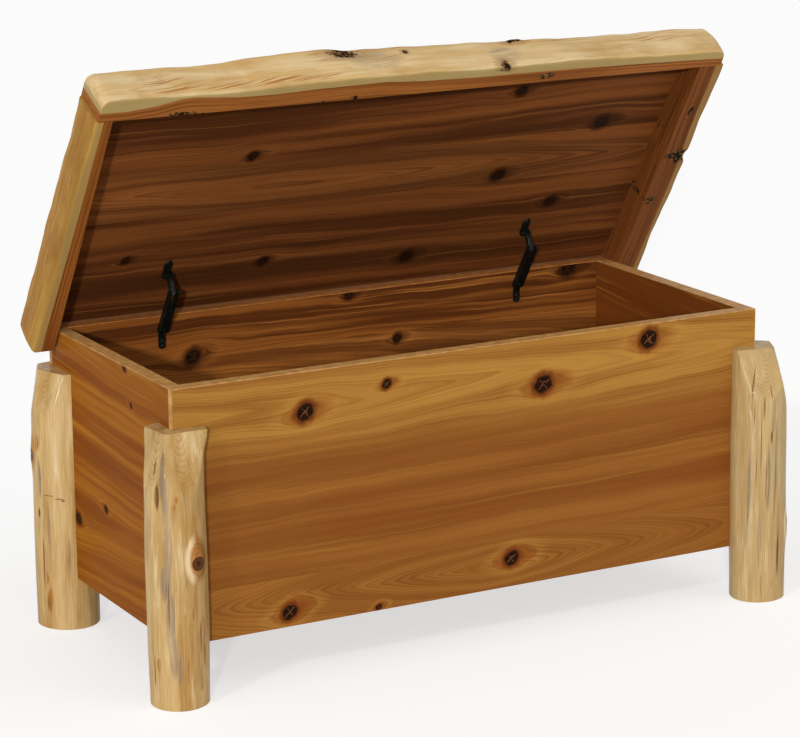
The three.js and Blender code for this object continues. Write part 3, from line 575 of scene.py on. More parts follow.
def build_stay_bracket(side, x):
    """A round-ended plate screwed to the back panel, with a lug out to the channel's pin."""
    points, faces = [], []
    face = (HINGE.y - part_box(f"stay_bracket_{side}")[1][1]) / MM + BRACKET_THICK / 2
    top, bottom = STAY_BASE[1] + BRACKET_TOP, STAY_BASE[1] + BRACKET_FOOT
    shares, widths = round_end(top - bottom, BRACKET_WIDE / 2)
    path = along_line((face, top), (face, bottom), shares)
    wide = [BRACKET_WIDE * width for width in widths]
    strap(points, faces, chest_place, x, path, wide, [BRACKET_THICK] * len(path), BRACKET_ARRIS)
    root = (face, STAY_BASE[1] + LUG_ROOT)
    reach = math.hypot(STAY_BASE[0] - root[0], STAY_BASE[1] - root[1])
    shares, widths = round_end(reach + LUG_ROUND, LUG_ROUND)
    tip = [b + (b - a) * LUG_ROUND / reach for a, b in zip(root, STAY_BASE)]
    path = along_line(root, tip, shares)
    thick = [2 * LUG_ROUND * width for width in widths]
    strap(points, faces, chest_place, x, path, [LUG_WIDE] * len(path), thick, LUG_ARRIS)
    return stay_piece(f"bracket_{side}", "chest", f"stay_bracket_{side}", points, faces)


# Materials: small helpers
def colour(red, green, blue):
    """A colour as seen on a screen, 0 to 255, as the light values that a shader takes."""
    def light(value):
        value /= 255
        return value / 12.92 if value <= 0.04045 else ((value + 0.055) / 1.055) ** 2.4
    return (light(red), light(green), light(blue), 1.0)


def operation(kind):
    return lambda value, other=None: value.nodes.math(kind, value, other)


class Value:
    """A number, place or colour that a shader works out. Sums written with one add nodes to its tree."""

    __add__ = __radd__ = operation("ADD")
    __sub__ = operation("SUBTRACT")
    __mul__ = __rmul__ = operation("MULTIPLY")
    __truediv__ = operation("DIVIDE")
    __pow__ = operation("POWER")
    __abs__ = operation("ABSOLUTE")

    def __init__(self, nodes, socket):
        self.nodes, self.socket = nodes, socket

    def step(self, low, high):
        """From 0 at low smoothly to 1 at high, whichever of the two is greater."""
        return self.nodes.result("Result", "ShaderNodeMapRange", self, low, high,
                                 interpolation_type="SMOOTHSTEP")


class Nodes:
    """Short calls that add nodes to one tree and join them up."""

    def __init__(self, tree):
        self.tree = tree

    def add(self, kind, **settings):
        node = self.tree.nodes.new(kind)
        for name, value in settings.items():
            setattr(node, name, value)
        return node

    def feed(self, value, socket):
        if isinstance(value, Value):
            value = value.socket
        if isinstance(value, bpy.types.NodeSocket):
            self.tree.links.new(value, socket)
        elif value is not None:
            socket.default_value = value

    def result(self, output, kind, *inputs, **settings):
        """One output of a new node, whose first inputs are fed in order."""
        node = self.add(kind, **settings)
        for value, socket in zip(inputs, node.inputs):
            self.feed(value, socket)
        return Value(self, node.outputs[output])

    def math(self, operation, first, second=None, third=None, clamp=False):
        return self.result(0, "ShaderNodeMath", first, second, third, operation=operation, use_clamp=clamp)

    def most(self, first, second):
        return self.math("MAXIMUM", first, second)

    def vector(self, operation, first, second=None):
        output = "Value" if operation in ("LENGTH", "DOT_PRODUCT") else "Vector"
        return self.result(output, "ShaderNodeVectorMath", first, second, operation=operation)

    def noise(self, place, scale=1.0, detail=3.0, roughness=0.55):
        """Soft noise. Its scale is one number, or one for each axis."""
        if isinstance(scale, tuple):
            place, scale = self.vector("MULTIPLY", place, scale), 1.0
        node = self.add("ShaderNodeTexNoise")
        levels = {"Vector": place, "Scale": scale, "Detail": detail, "Roughness": roughness}
        for name, value in levels.items():
            self.feed(value, node.inputs[name])
        return Value(self, node.outputs["Fac"])

    def mix(self, share, first, second):
        node = self.add("ShaderNodeMix", data_type="RGBA")
        for value, place in ((share, 0), (first, 6), (second, 7)):
            self.feed(value, node.inputs[place])
        return Value(self, node.outputs[2])

    def here(self):
        """The place on the object, in the frame's metres."""
        return self.result("Object", "ShaderNodeTexCoord")

    def parts(self, place):
        node = self.add("ShaderNodeSeparateXYZ")
        self.feed(place, node.inputs[0])
        return [Value(self, socket) for socket in node.outputs]

    def join(self, x, y, z):
        return self.result(0, "ShaderNodeCombineXYZ", x, y, z)

    def length(self, x, y, z=0.0):
        return self.vector("LENGTH", self.join(x, y, z))

    def group(self, tree, **inputs):
        node = self.add("ShaderNodeGroup", node_tree=tree)
        for name, value in inputs.items():
            self.feed(value, node.inputs[name.replace("_", " ")])
        return {socket.name: Value(self, socket) for socket in node.outputs}


def new_group(name, places, numbers, results):
    """A shader node group that takes places and numbers. give feeds its results and returns it."""
    tree = bpy.data.node_groups.new(name, "ShaderNodeTree")
    for label in places:
        tree.interface.new_socket(label, in_out="INPUT", socket_type="NodeSocketVector")
    for label, usual in numbers.items():
        socket = tree.interface.new_socket(label, in_out="INPUT", socket_type="NodeSocketFloat")
        socket.default_value = usual
    for label in results:
        tree.interface.new_socket(label, in_out="OUTPUT", socket_type="NodeSocketFloat")
    n = Nodes(tree)
    start, end = n.add("NodeGroupInput"), n.add("NodeGroupOutput")

    def give(**made):
        for label, value in made.items():
            n.feed(value, end.inputs[label])
        return tree

    return n, {socket.name: Value(n, socket) for socket in start.outputs}, give


# Shared effects. In these and in the materials, the steps and shares were set against the photograph.
def make_knot_group():
    """One knot in a board: its dark heart, the pointed red lens round it, and its push on the grain."""
    n, given, give = new_group("knot", ("Place", "Centre"), {"Radius": 0.012, "Lean": 0.2},
                               ("Heart", "Stain", "Eye", "Push", "Crack"))
    wobble = n.noise(given["Place"], 95.0, 1.0, 0.5) - 0.5
    sway = n.noise(given["Place"], (22.0, 75.0, 40.0), 1.0, 0.5) - 0.5
    x, y, z = n.parts(n.vector("SUBTRACT", given["Place"], given["Centre"]))
    y = y - x * given["Lean"]
    x, y, z = x / given["Radius"], y / given["Radius"], z * 0.25 / given["Radius"]
    near = wobble * 0.5 + n.length(x * 0.9, y, z)
    long_way = abs(x * 0.3 - 0.14) ** 1.5
    short_way = (abs(y) * 0.58) ** 1.7
    lens = sway * 0.6 + (long_way + (z * z + short_way))
    rim = abs(lens - 0.92).step(0.09, 0.02) * 0.1
    stain = n.most(lens.step(1.15, -0.1) * 0.85, n.most(rim, near.step(1.9, 1.1)))
    slim = x / 2.6
    first = abs(x * 0.55 + wobble * 0.8 - y * 0.8)
    second = abs(x * 0.8 + wobble * 0.8 + y * 0.5)
    thin = n.most(first.step(0.08, 0.01), second.step(0.07, 0.01) * 0.6)
    return give(Heart=near.step(1.12, 0.78), Stain=stain, Eye=lens.step(2.3, 1.1) * lens.step(0.96, 1.06),
                Push=y * given["Radius"] / (slim * slim + y * y + 0.4), Crack=thin * near.step(0.85, 0.5))


def make_grain_group():
    """Cedar grain: yearly rings round a heart line, wide apart beside it and close together far from it."""
    n, given, give = new_group(
        "cedar_grain", ("Place",),
        {"Heart Line": 0.06, "Depth": 0.04, "Tilt": 0.05, "Rings": 300.0, "Push": 0.0, "Seed": 0.0},
        ("Line", "Tone", "Streak", "Fibre", "Near"))
    x, y, z = n.parts(given["Place"])
    deep = z * 6.0 + given["Seed"]
    sway = n.noise(n.join(x * 1.5, y * 5.0, deep), 1.0, 1.0, 0.4)
    ripple = n.noise(n.join(x * 8.0, y * 22.0, deep), 1.0, 1.0, 0.5)
    shiver = n.noise(n.join(x * 50.0, y * 80.0, deep), 1.0, 2.0, 0.5)
    moved = (shiver - 0.5) * 0.0016 + ((ripple - 0.5) * 0.012 + (sway - 0.5) * 0.030)
    away = abs((y - given["Heart Line"]) - (given["Push"] - moved))
    deeper = abs(x * given["Tilt"] + given["Depth"] + z)
    field = (away**1.5 + deeper**1.5) ** (1 / 1.5) * given["Rings"]
    part = n.math("FRACT", field)
    ring = n.join(n.math("FLOOR", field), given["Seed"], 0.0)
    each = n.result("Value", "ShaderNodeTexWhiteNoise", ring, noise_dimensions="2D")
    tone = n.noise(n.join(x * 0.6, field * 0.07, deep), 1.0, 3.0, 0.6)
    return give(Line=part**2.5 * part.step(1.0, 0.95) * (each * 0.7 + 0.3), Tone=tone,
                Streak=n.noise(n.join(x * 1.3, field * 0.3, deep), 1.0, 4.0, 0.65),
                Fibre=n.noise(given["Place"], (14.0, 700.0, 700.0), 2.0, 0.5),
                Near=((tone - 0.5) * 0.10 + away).step(0.10, 0.02))


def make_wear_group():
    """Roughness that varies softly, as varnish and handling leave it."""
    n, given, give = new_group("varnish", ("Place",), {"Roughness": 0.35, "Spread": 0.12}, ("Roughness",))
    broad, fine = n.noise(given["Place"], 9.0, 3.0), n.noise(given["Place"], 240.0, 2.0)
    swing = (broad - 0.5) * 2.0 + (fine - 0.5)
    return give(Roughness=n.math("MULTIPLY_ADD", swing, given["Spread"], given["Roughness"], clamp=True))


KNOT, GRAIN, VARNISH = make_knot_group(), make_grain_group(), make_wear_group()


def worn(n, place, roughness, spread=0.12):
    return n.group(VARNISH, Place=place, Roughness=roughness, Spread=spread)["Roughness"]


def new_material(name):
    material = bpy.data.materials.new(name)
    material.use_nodes = True
    n = Nodes(material.node_tree)
    material.node_tree.nodes.clear()
    shader = n.add("ShaderNodeBsdfPrincipled")
    n.feed(shader.outputs[0], n.add("ShaderNodeOutputMaterial").inputs["Surface"])
    return material, n, shader.inputs


def finish(n, shader, body, roughness, height, strength, depth, **levels):
    """Joins up the colour, roughness and relief, and sets the levels that are the same all over."""
    relief = n.add("ShaderNodeBump")
    relief.inputs["Strength"].default_value = strength
    relief.inputs["Distance"].default_value = depth
    n.feed(height, relief.inputs["Height"])
    n.feed(body, shader["Base Color"])
    n.feed(roughness, shader["Roughness"])
    n.feed(relief.outputs["Normal"], shader["Normal"])
    for label, level in levels.items():
        shader[label.replace("_", " ")].default_value = level


X_WAY, Y_WAY, Z_WAY = (1, 0, 0), (0, 1, 0), (0, 0, 1)
LID_FORWARD = (0, -math.cos(LID_OPEN), math.sin(LID_OPEN))
LID_UP = (0, math.sin(LID_OPEN), math.cos(LID_OPEN))
# Each board's origin, then its directions along the grain, across it and through the board
FRONT_BOARD = (0, BOX_FRONT, PANEL_FOOT), X_WAY, Z_WAY, Y_WAY
BACK_BOARD = (0, back_low[1], PANEL_FOOT), X_WAY, Z_WAY, Y_WAY
LEFT_BOARD = (BOX_LEFT, 0, PANEL_FOOT), Y_WAY, Z_WAY, X_WAY
RIGHT_BOARD = (right_low[0], 0, PANEL_FOOT), Y_WAY, Z_WAY, X_WAY
FLOOR_BOARD = (0, 0, PANEL_FOOT), X_WAY, Y_WAY, Z_WAY
LID_BOARD = tuple(HINGE), X_WAY, LID_FORWARD, LID_UP


def board_place(n, origin, *ways):
    """Places on a board from its origin: along the grain, across it, and in depth."""
    moved = n.vector("SUBTRACT", n.here(), origin)
    return n.join(*(n.vector("DOT_PRODUCT", moved, way) for way in ways))


def strip_values(n, across, strips):
    """The values of the strip that a place lies in, where a panel is glued up from several boards."""
    values = strips[0][1:]
    for before, strip in zip(strips, strips[1:]):
        beyond = n.math("GREATER_THAN", across, strip[0] * MM)
        values = [beyond * (new - old) + value for value, new, old in zip(values, strip[1:], before[1:])]
    return values


def cedar(name, board, tones, strips, knots, contrast=1.0, glow=1.0, inner=None, outer=None):
    """Varnished knotty cedar. tones are light, middle, dark and line, and knots (along, across, radius).

    Between the depths of inner a board darkens towards the box, and between those of outer it lightens.
    """
    material, n, shader = new_material(name)
    place = board_place(n, *board)
    across, inwards = n.parts(place)[1:]
    push = hearts = stains = eyes = cracks = 0.0
    for at, height, radius in knots:
        knot = n.group(KNOT, Place=place, Centre=(at * MM, height * MM, 0), Radius=radius * MM,
                       Lean=0.12 if at > 0 else 0.2)
        push = knot["Push"] + push
        hearts, stains = n.most(knot["Heart"], hearts), n.most(knot["Stain"], stains)
        eyes, cracks = n.most(knot["Eye"], eyes), n.most(knot["Crack"], cracks)
    heart, depth, tilt, rings, gold, seed = strip_values(n, across, strips)
    lines = n.group(GRAIN, Place=place, Push=push, Heart_Line=heart, Depth=depth, Tilt=tilt, Rings=rings,
                    Seed=seed)
    line, streak, fibre = lines["Line"], lines["Streak"], lines["Fibre"]
    light, middle, dark, line_tone = [colour(*tone) for tone in tones]
    reach = 0.13 / contrast
    body = n.mix(lines["Tone"].step(0.5 - reach, 0.5 + reach), dark, middle)
    body = n.mix(streak.step(0.5, 0.66) * (0.45 * contrast), body, dark)
    gilded = lines["Near"] * (streak.step(0.4, 0.62) * -0.6 + 1.0) * gold
    body = n.mix(gilded, body, light)
    if inner:
        body = n.mix(inwards.step(*inner) * 0.85, body, colour(112, 57, 24))
    if outer:
        body = n.mix(inwards.step(*outer) * 0.6, body, light)
    body = n.mix(streak.step(0.45, 0.3) * (0.35 * contrast), body, light)
    body = n.mix(eyes * (0.3 * glow), body, light)
    body = n.mix(line * (gilded * -0.65 + 0.85), body, line_tone)
    body = n.mix(fibre.step(0.5, 0.8) * 0.28, body, dark)
    halo = colour(146, 70, 20) if glow > 0.5 else line_tone
    body = n.mix(stains * (0.8 + 0.1 * glow), body, n.mix(stains, halo, line_tone))
    body = n.mix(hearts, body, n.mix(fibre.step(0.3, 0.7), colour(24, 12, 7), colour(44, 24, 13)))
    body = n.mix(cracks * (0.65 * glow), body, colour(146, 94, 54))
    height = hearts * -1.2 + line * -0.6 + fibre * 0.35
    finish(n, shader, body, worn(n, place, 0.46), height, 0.25, 0.4 * MM, Specular_IOR_Level=0.02)
    return material


def patches(n, first, second, marks, ragged):
    """One inside any of the marks, 0 outside: (first, second, half width, half height) in millimetres."""
    most = 0.0
    for at, height, wide, tall in marks:
        away = n.length((first - at * MM) / (wide * MM), (second - height * MM) / (tall * MM))
        most = n.most(((ragged - 0.5) * 1.7 + away).step(1.25, 0.7), most)
    return most


def log_knots(n, body, around, z, leg, streak):
    """Paints a log's branch knots, the swirled wood round them and a painted highlight on the left of each collar.
    Gives colour, cores and collars.
    """
    cores = collars = 0.0
    ragged = streak - 0.5
    for knot in leg["knots"]:
        turn = (knot["facing"] - VIEW_FACING + 180) % 360 - 180
        across, above = around - math.radians(turn) * LEG_RADIUS, z - knot["height"]
        core_reach = ragged * 0.006 + n.length(across, above)
        core = core_reach.step(0.0112, 0.0094)
        reach = ragged * 0.010 + n.length(across, (above - 0.006) * 0.55)
        swirl = n.math("FRACT", reach * 260.0)
        swirl = swirl * swirl * reach.step(0.021, 0.014)
        body = n.mix(reach.step(0.023, 0.012) * 0.6, body, colour(176, 108, 36))
        body = n.mix(swirl * 0.7, body, colour(122, 68, 22))
        # Painted highlight: a pale crescent on the left side of each knot's raised collar, where light falls on
        # its bulge
        pale = reach.step(0.026, 0.019) * reach.step(0.0125, 0.0165) * across.step(0.0, -0.012)
        body = n.mix(pale * 0.6, body, colour(236, 216, 174))
        body = n.mix(core, body, colour(112, 62, 24))
        ringed = core * n.math("FRACT", core_reach * 380.0)
        body = n.mix(ringed * 0.8, body, colour(50, 24, 10))
        outline = core_reach.step(0.0125, 0.0108) * core_reach.step(0.0088, 0.0102)
        body = n.mix(n.most(outline, core_reach.step(0.006, 0.003)) * 0.85, body, colour(44, 22, 10))
        cores, collars = n.most(core, cores), n.most(reach.step(0.024, 0.008), collars)
    return body, cores, collars


def peeled_log(name, leg, marks):
    """Varnished peeled cedar log: pale sapwood with drying cracks, stain, patches of bark, knots with a painted
    highlight on their collars, rings.
    """
    material, n, shader = new_material(name)
    foot, top = leg_axis(leg, 0), leg_axis(leg, 1)
    axis = ((foot[0] + top[0]) / 2, (foot[1] + top[1]) / 2, 0)
    place = board_place(n, axis, X_WAY, Y_WAY, Z_WAY)
    x, y, z = n.parts(place)
    tall, taller = (n.join(x, y, z * squeeze + leg["turn"] * 3.0) for squeeze in (0.12, 0.05))
    from_axis = n.length(x, y)
    streak, broad = n.noise(tall, 55.0, 4.0, 0.6), n.noise(tall, 17.0, 3.0, 0.6)
    fleck, mould = n.noise(taller, 150.0, 4.0, 0.65), n.noise(tall, 30.0, 4.0, 0.65)
    body = n.mix(broad.step(0.36, 0.66), colour(200, 169, 115), colour(173, 134, 76))
    body = n.mix(streak.step(0.5, 0.72) * 0.5, body, colour(146, 100, 46))
    body = n.mix(streak.step(0.47, 0.3) * 0.7, body, colour(220, 196, 154))
    body = n.mix(leg.get("weathered", 0.0), body, colour(180, 157, 112))

    strand, unhewn = n.noise(place, (520.0, 520.0, 15.6), 2.0, 0.5), from_axis.step(0.043, 0.048)
    body = n.mix(strand.step(0.5, 0.68) * 0.24 * unhewn, body, colour(146, 104, 54))
    body = n.mix(strand.step(0.46, 0.3) * 0.26 * unhewn, body, colour(226, 202, 158))
    part = n.math("FRACT", n.noise(tall, 16.0) * 3.2 + from_axis * 420.0)
    sawn = part.step(0.3, 0.9) * part.step(1.0, 0.94) * from_axis.step(0.048, 0.040)
    body = n.mix(sawn * 0.3, body, colour(150, 98, 42))

    side = math.radians(VIEW_FACING)
    turned_x = x * math.cos(side) + y * math.sin(side)
    turned_y = x * -math.sin(side) + y * math.cos(side)
    around = n.math("ARCTAN2", turned_y, turned_x) * LEG_RADIUS
    grey = n.most(patches(n, around, z, marks["grey"], mould) * 0.65, mould.step(0.58, 0.72) * 0.3)
    broken = streak.step(0.32, 0.58) * fleck.step(0.3, 0.56)
    body = n.mix(grey * (broken * 0.6 + 0.4), body, colour(124, 110, 98))
    inked = patches(n, around, z, marks["grey"], fleck) * fleck.step(0.58, 0.68)
    body = n.mix(inked * 0.7, body, colour(72, 64, 58))
    orange = patches(n, around, z, marks["orange"], fleck) * (fleck.step(0.44, 0.56) * 0.7 + 0.15)
    body = n.mix(orange, body, colour(158, 92, 26))
    flecks = fleck.step(0.62, 0.69) * n.noise(tall, 17.0, 2.0).step(0.54, 0.62)
    body = n.mix(flecks * 0.75, body, colour(150, 92, 34))
    bark, cracks = (patches(n, around, z, marks[kind], edge)
                    for kind, edge in (("bark", streak), ("cracks", fleck)))
    body = n.mix(bark * 0.9, body, n.mix(fleck.step(0.4, 0.6), colour(96, 60, 22), colour(140, 98, 36)))
    body = n.mix(cracks * 0.85, body, colour(112, 60, 22))
    body, cores, collars = log_knots(n, body, around, z, leg, streak)

    marked = n.most(cores, n.most(bark, cracks))
    knobbly = n.noise(place, (42.0, 42.0, 29.4), 2.0, 0.5)
    height = knobbly * 5.0 + streak * 0.7 + flecks * -0.5 + collars * 14.0 + marked * -0.9
    finish(n, shader, body, marked * 0.15 + worn(n, place, 0.36), height, 0.5, 0.9 * MM,
           Specular_IOR_Level=0.03, Coat_Weight=0.16, Coat_Roughness=0.17)
    return material


def live_edge_wood(name, rail, tones):
    """Sapwood with its live edge outside, and red heartwood beyond the line where the log's heart begins. The sawn
    faces take their own sapwood tone, which on the front rail is darkened to olive as painted shade of the
    underside.
    """
    material, n, shader = new_material(name)
    place = n.result("Vector", "ShaderNodeAttribute", attribute_name="rail_place")
    depth = n.result("Fac", "ShaderNodeAttribute", attribute_name="rail_depth")
    along, beyond, up = n.parts(place)
    seed = rail["seed"] * 3.0

    def drawn(stretch, fine, detail):
        return n.noise(n.join(along * stretch + seed, beyond * fine, up * fine), 1.0, detail, 0.6)

    streak, lines, slow = drawn(5.0, 55.0, 4.0), drawn(4.0, 420.0, 2.0), drawn(9.0, 16.0, 3.0)
    slanting = n.join(along * 10.0 + seed, depth * 450.0, (along * -0.13 + up) * 450.0)
    scratch = n.noise(slanting, 1.0, 2.0, 0.45)
    flake = n.noise(place, (120.0, 150.0, 150.0), 3.0, 0.6)
    light, middle, rubbed, sawn_sap_and_shade, red_light, red_dark = [colour(*tone) for tone in tones]
    body = n.mix(streak.step(0.36, 0.64), light, middle)
    body = n.mix(slow.step(0.5, 0.75) * 0.5, body, rubbed)
    body = n.mix(lines.step(0.5, 0.7) * 0.25, body, rubbed)
    # Sawn faces away from the live edge take the sawn sapwood tone: its own colour, darkened on the front rail as
    # painted shade of the underside
    body = n.mix(depth.step(0.0005, 0.004) * 0.8, body, sawn_sap_and_shade)
    close = scratch.step(0.52, 0.60) * patches(n, along, up, rail["scratched"], streak)
    scratches = n.most(close, scratch.step(0.68, 0.74) * 0.6)
    body = n.mix(scratches * 0.8, body, colour(158, 90, 32))
    grey = patches(n, along, up, rail["greyed"], streak) * scratch.step(0.4, 0.6)
    body = n.mix(grey * 0.5, body, colour(128, 118, 112))
    heart = ((slow - 0.5) * 0.005 + beyond).step(0.0010, -0.0010) * depth.step(0.002, 0.004)
    body = n.mix(heart, body, n.mix(lines.step(0.35, 0.7), red_light, red_dark))

    pockets = [pocket[:4] for pocket in rail["pockets"]]
    round_pockets = [(at, height, wide * 2, tall * 2) for at, height, wide, tall in pockets]
    soot = patches(n, along, up, round_pockets, scratch) * depth.step(0.014, 0.008)
    below = patches(n, along, depth, rail["under_pockets"], flake) * depth.step(0.001, 0.003)
    bark = n.most(patches(n, along, up, pockets, flake) * depth.step(0.012, 0.006),
                  below * up.step(0.005, -0.005))
    body = n.mix(soot * 0.45, body, colour(140, 96, 52))
    body = n.mix(bark, body, n.mix(flake.step(0.44, 0.62), colour(26, 18, 12), colour(128, 92, 52)))
    height = streak * 0.7 + scratches * -0.4 + bark * flake * 5.0
    finish(n, shader, body, bark * 0.4 + worn(n, place, 0.42), height, 0.4, 1.0 * MM,
           Specular_IOR_Level=0.03, Coat_Weight=0.03, Coat_Roughness=0.25)
    return material


def edging_wood(name, pale, middle, fleck):
    """Iron-on edging with short fine grain, in three tones."""
    material, n, shader = new_material(name)
    place = n.here()
    grain, fine = n.noise(place, 60.0, 4.0, 0.6), n.noise(place, 700.0, 2.0)
    body = n.mix(grain.step(0.35, 0.65), colour(*pale), colour(*middle))
    body = n.mix(fine.step(0.5, 0.75) * 0.3, body, colour(*fleck))
    finish(n, shader, body, worn(n, place, 0.42), fine, 0.15, 0.2 * MM, Specular_IOR_Level=0.03)
    return material


def metal(name, body_tone, worn_tone, roughness, metallic):
    """Plated or painted steel, a little rubbed where hands and dust reach it."""
    material, n, shader = new_material(name)
    place = n.here()
    rub, speck = n.noise(place, 120.0, 4.0, 0.6), n.noise(place, 900.0, 2.0)
    body = n.mix(rub.step(0.5, 0.72) * 0.6, colour(*body_tone), colour(*worn_tone))
    finish(n, shader, body, worn(n, place, roughness, 0.2), speck, 0.12, 0.15 * MM,
           Metallic=metallic, Specular_IOR_Level=0.12)
    return material


def paint(node_or_piece, material):
    piece = frame["nodes"].get(node_or_piece) if isinstance(node_or_piece, str) else node_or_piece
    if not piece.data.materials:
        piece.data.materials.append(material)
        return
    for slot in piece.material_slots:
        slot.link = "OBJECT"
        slot.material = material


# Tones: light, middle, dark and line
FRONT_TONES = ((182, 134, 61), (150, 97, 42), (126, 73, 29), (104, 50, 16))
SIDE_TONES = ((188, 130, 46), (164, 102, 30), (132, 71, 19), (92, 42, 10))
INSIDE_TONES = ((184, 118, 54), (146, 86, 35), (92, 48, 20), (54, 27, 12))
LID_TONES = ((172, 108, 54), (132, 76, 36), (84, 46, 22), (50, 26, 12))
# Knots: along, across and radius, in millimetres
FRONT_KNOTS = [(-325, 357, 15), (-176, 384, 8), (122, 345, 16), (332, 397, 16), (61, 50, 13), (-358, 25, 13),
               (-194, 6, 5)]
LEFT_KNOTS = [(-48, 420, 6), (-72, 362, 4), (44, 158, 6), (163, 110, 10)]
RIGHT_KNOTS = [(-100, 300, 9), (120, 180, 7)]
BACK_KNOTS = [(6, 418, 8), (-302, 343, 13), (104, 327, 8), (466, 417, 14), (-200, 100, 9), (300, 120, 10)]
LID_KNOTS = [(-254, 350, 9), (-440, 135, 7), (-172, 95, 9), (122, 64, 12), (240, 441, 10), (256, 243, 12),
             (435, 348, 13), (392, 163, 11)]
FLOOR_KNOTS = [(-250, 60, 9), (210, -80, 8)]
# Glued strips of each panel: from, in millimetres, then heart line, depth, tilt, rings to the metre, gold
# and seed
FRONT_STRIPS = [(0, 0.046, 0.0, 0.13, 280, 0.15, 3), (84, 0.372, 0.050, 0.035, 330, 0.76, 1)]
BACK_STRIPS = [(0, 0.05, 0.02, 0.06, 260, 0.3, 5), (150, 0.30, 0.05, 0.05, 260, 0.3, 4),
               (340, 0.20, 0.02, 0.03, 330, 0, 8)]
SIDE_STRIPS = [(0, -0.05, 0.05, 0.1, 300, 0, 7), (140, 0.47, 0.06, 0.08, 300, 0.4, 6)]
LID_STRIPS = [(0, -0.15, 0.05, 0.02, 330, 0, 11), (130, -0.1, 0.02, 0.03, 300, 0, 12),
              (228, 0.275, 0.01, 0.06, 230, 0.3, 13), (335, 0.6, 0.04, 0.03, 300, 0.2, 16)]
FLOOR_STRIPS = [(-250, -0.1, 0.05, 0.03, 280, 0.2, 15), (0, 0.3, 0.02, 0.05, 280, 0.2, 17)]


def paint_boards():
    paint("front_panel", cedar("front_cedar", FRONT_BOARD, FRONT_TONES, FRONT_STRIPS, FRONT_KNOTS, 0.72))
    paint("back_panel", cedar("back_cedar", BACK_BOARD, INSIDE_TONES, BACK_STRIPS, BACK_KNOTS, 2.2, 0.3,
                              outer=(0.014, 0.018)))
    paint("left_panel", cedar("left_cedar", LEFT_BOARD, SIDE_TONES, SIDE_STRIPS, LEFT_KNOTS, 1.2, 0.6,
                              inner=(0.012, 0.016)))
    paint("right_panel", cedar("right_cedar", RIGHT_BOARD, SIDE_TONES, SIDE_STRIPS, RIGHT_KNOTS, 1.2, 0.6,
                               inner=(0.012, 0.008)))
    paint("lid_panel", cedar("lid_cedar", LID_BOARD, LID_TONES, LID_STRIPS, LID_KNOTS, 1.25, 0.15,
                             outer=(0.011, 0.015)))
    bottom = cedar("bottom_cedar", FLOOR_BOARD, INSIDE_TONES, FLOOR_STRIPS, FLOOR_KNOTS)
    for node in ("floor_panel", "floor_cleat_front", "floor_cleat_rear"):
        paint(node, bottom)


def paint_rest():
    finishes = {
        "edging": edging_wood("edging_wood", (206, 158, 98), (182, 132, 74), (150, 98, 50)),
        "hinge_brass": metal("hinge_brass", (112, 74, 46), (78, 50, 32), 0.55, 0.25),
        "zinc_steel": metal("zinc_steel", (176, 178, 180), (120, 122, 126), 0.35, 0.9),
        "black_steel": metal("black_steel", (20, 22, 19), (44, 44, 38), 0.42, 0.3),
    }
    for row in frame["record"]["subparts"]:
        if row["material_slot"] in finishes:
            paint(row["node"], finishes[row["material_slot"]])
    # A darker copy of the edging on the back band: painted shade
    paint("rim_band_back", edging_wood("back_edging_painted_shade", (190, 126, 70), (166, 104, 52), (138, 78, 36)))


def soften_boards():
    """Breaks the boards' sharp arrises, as sanding does."""
    for name in ("front_panel", "back_panel", "left_panel", "right_panel", "lid_panel", "floor_panel",
                 "rim_band_front", "rim_band_back", "rim_band_left", "rim_band_right"):
        break_edges(name, "sanded", 0.6 * MM)


# Marks on the logs: round from the photograph's side, height, half width and half height, in millimetres
VIEW_FACING = 241.2
LOG_MARKS = {
    "front_left": {
        "grey": [(-16, 372, 7, 26), (-13, 325, 6, 42), (-10, 265, 7, 45), (-14, 215, 9, 30), (-8, 155, 7, 50),
                 (-4, 92, 6, 40), (18, 215, 3, 12), (6, 70, 3, 26), (-20, 405, 5, 20)],
        "bark": [(-28, 355, 5, 22), (-44, 396, 3.5, 12)],
        "orange": [(6, 350, 3, 6), (2, 338, 2, 5), (39, 272, 7, 26), (36, 300, 3, 22), (50, 125, 6, 32),
                   (54, 88, 4, 22), (-32, 75, 5, 12), (46, 50, 4, 24), (30, 160, 2, 10)],
        "cracks": [(44, 120, 1.2, 25), (-42, 60, 1.5, 25), (-10, 180, 0.9, 35)],
    },
    "front_right": {
        "grey": [(-20, 200, 3, 80), (14, 230, 4, 60), (0, 120, 3, 60), (30, 250, 3, 70), (24, 340, 4, 30)],
        "bark": [(20, 300, 2.0, 12), (38, 88, 2.5, 36)],
        "orange": [(-18, 395, 2, 22), (20, 312, 3, 24), (38, 120, 4, 60), (26, 40, 3, 14), (4, 350, 2, 20)],
        "cracks": [(-18, 398, 1.0, 26), (-13, 345, 0.8, 28), (0, 290, 0.8, 50), (5, 355, 0.9, 18),
                   (20, 380, 1.0, 10), (10, 220, 0.7, 36), (-8, 240, 0.7, 30), (28, 180, 0.8, 36),
                   (38, 90, 1.1, 40)],
    },
    "rear_left": {
        "grey": [(-40, 268, 4, 34), (-24, 180, 2.5, 40), (10, 130, 2, 30)],
        "bark": [(-44, 205, 3, 10), (-28, 46, 4, 14)],
        "orange": [(-44, 330, 7, 16), (-34, 110, 4, 35), (-26, 52, 6, 25), (-30, 90, 4, 12)],
        "cracks": [(-36, 120, 1.2, 40), (-22, 239, 10, 0.8), (-5, 234, 8, 1.0), (2, 231, 3, 1.6)],
    },
    "rear_right": {
        "grey": [(20, 200, 8, 60), (60, 120, 8, 50)],
        "bark": [(80, 300, 4, 18)],
        "orange": [(40, 150, 5, 40), (100, 260, 5, 30)],
        "cracks": [(30, 320, 1.4, 50), (90, 150, 1.4, 60)],
    },
}
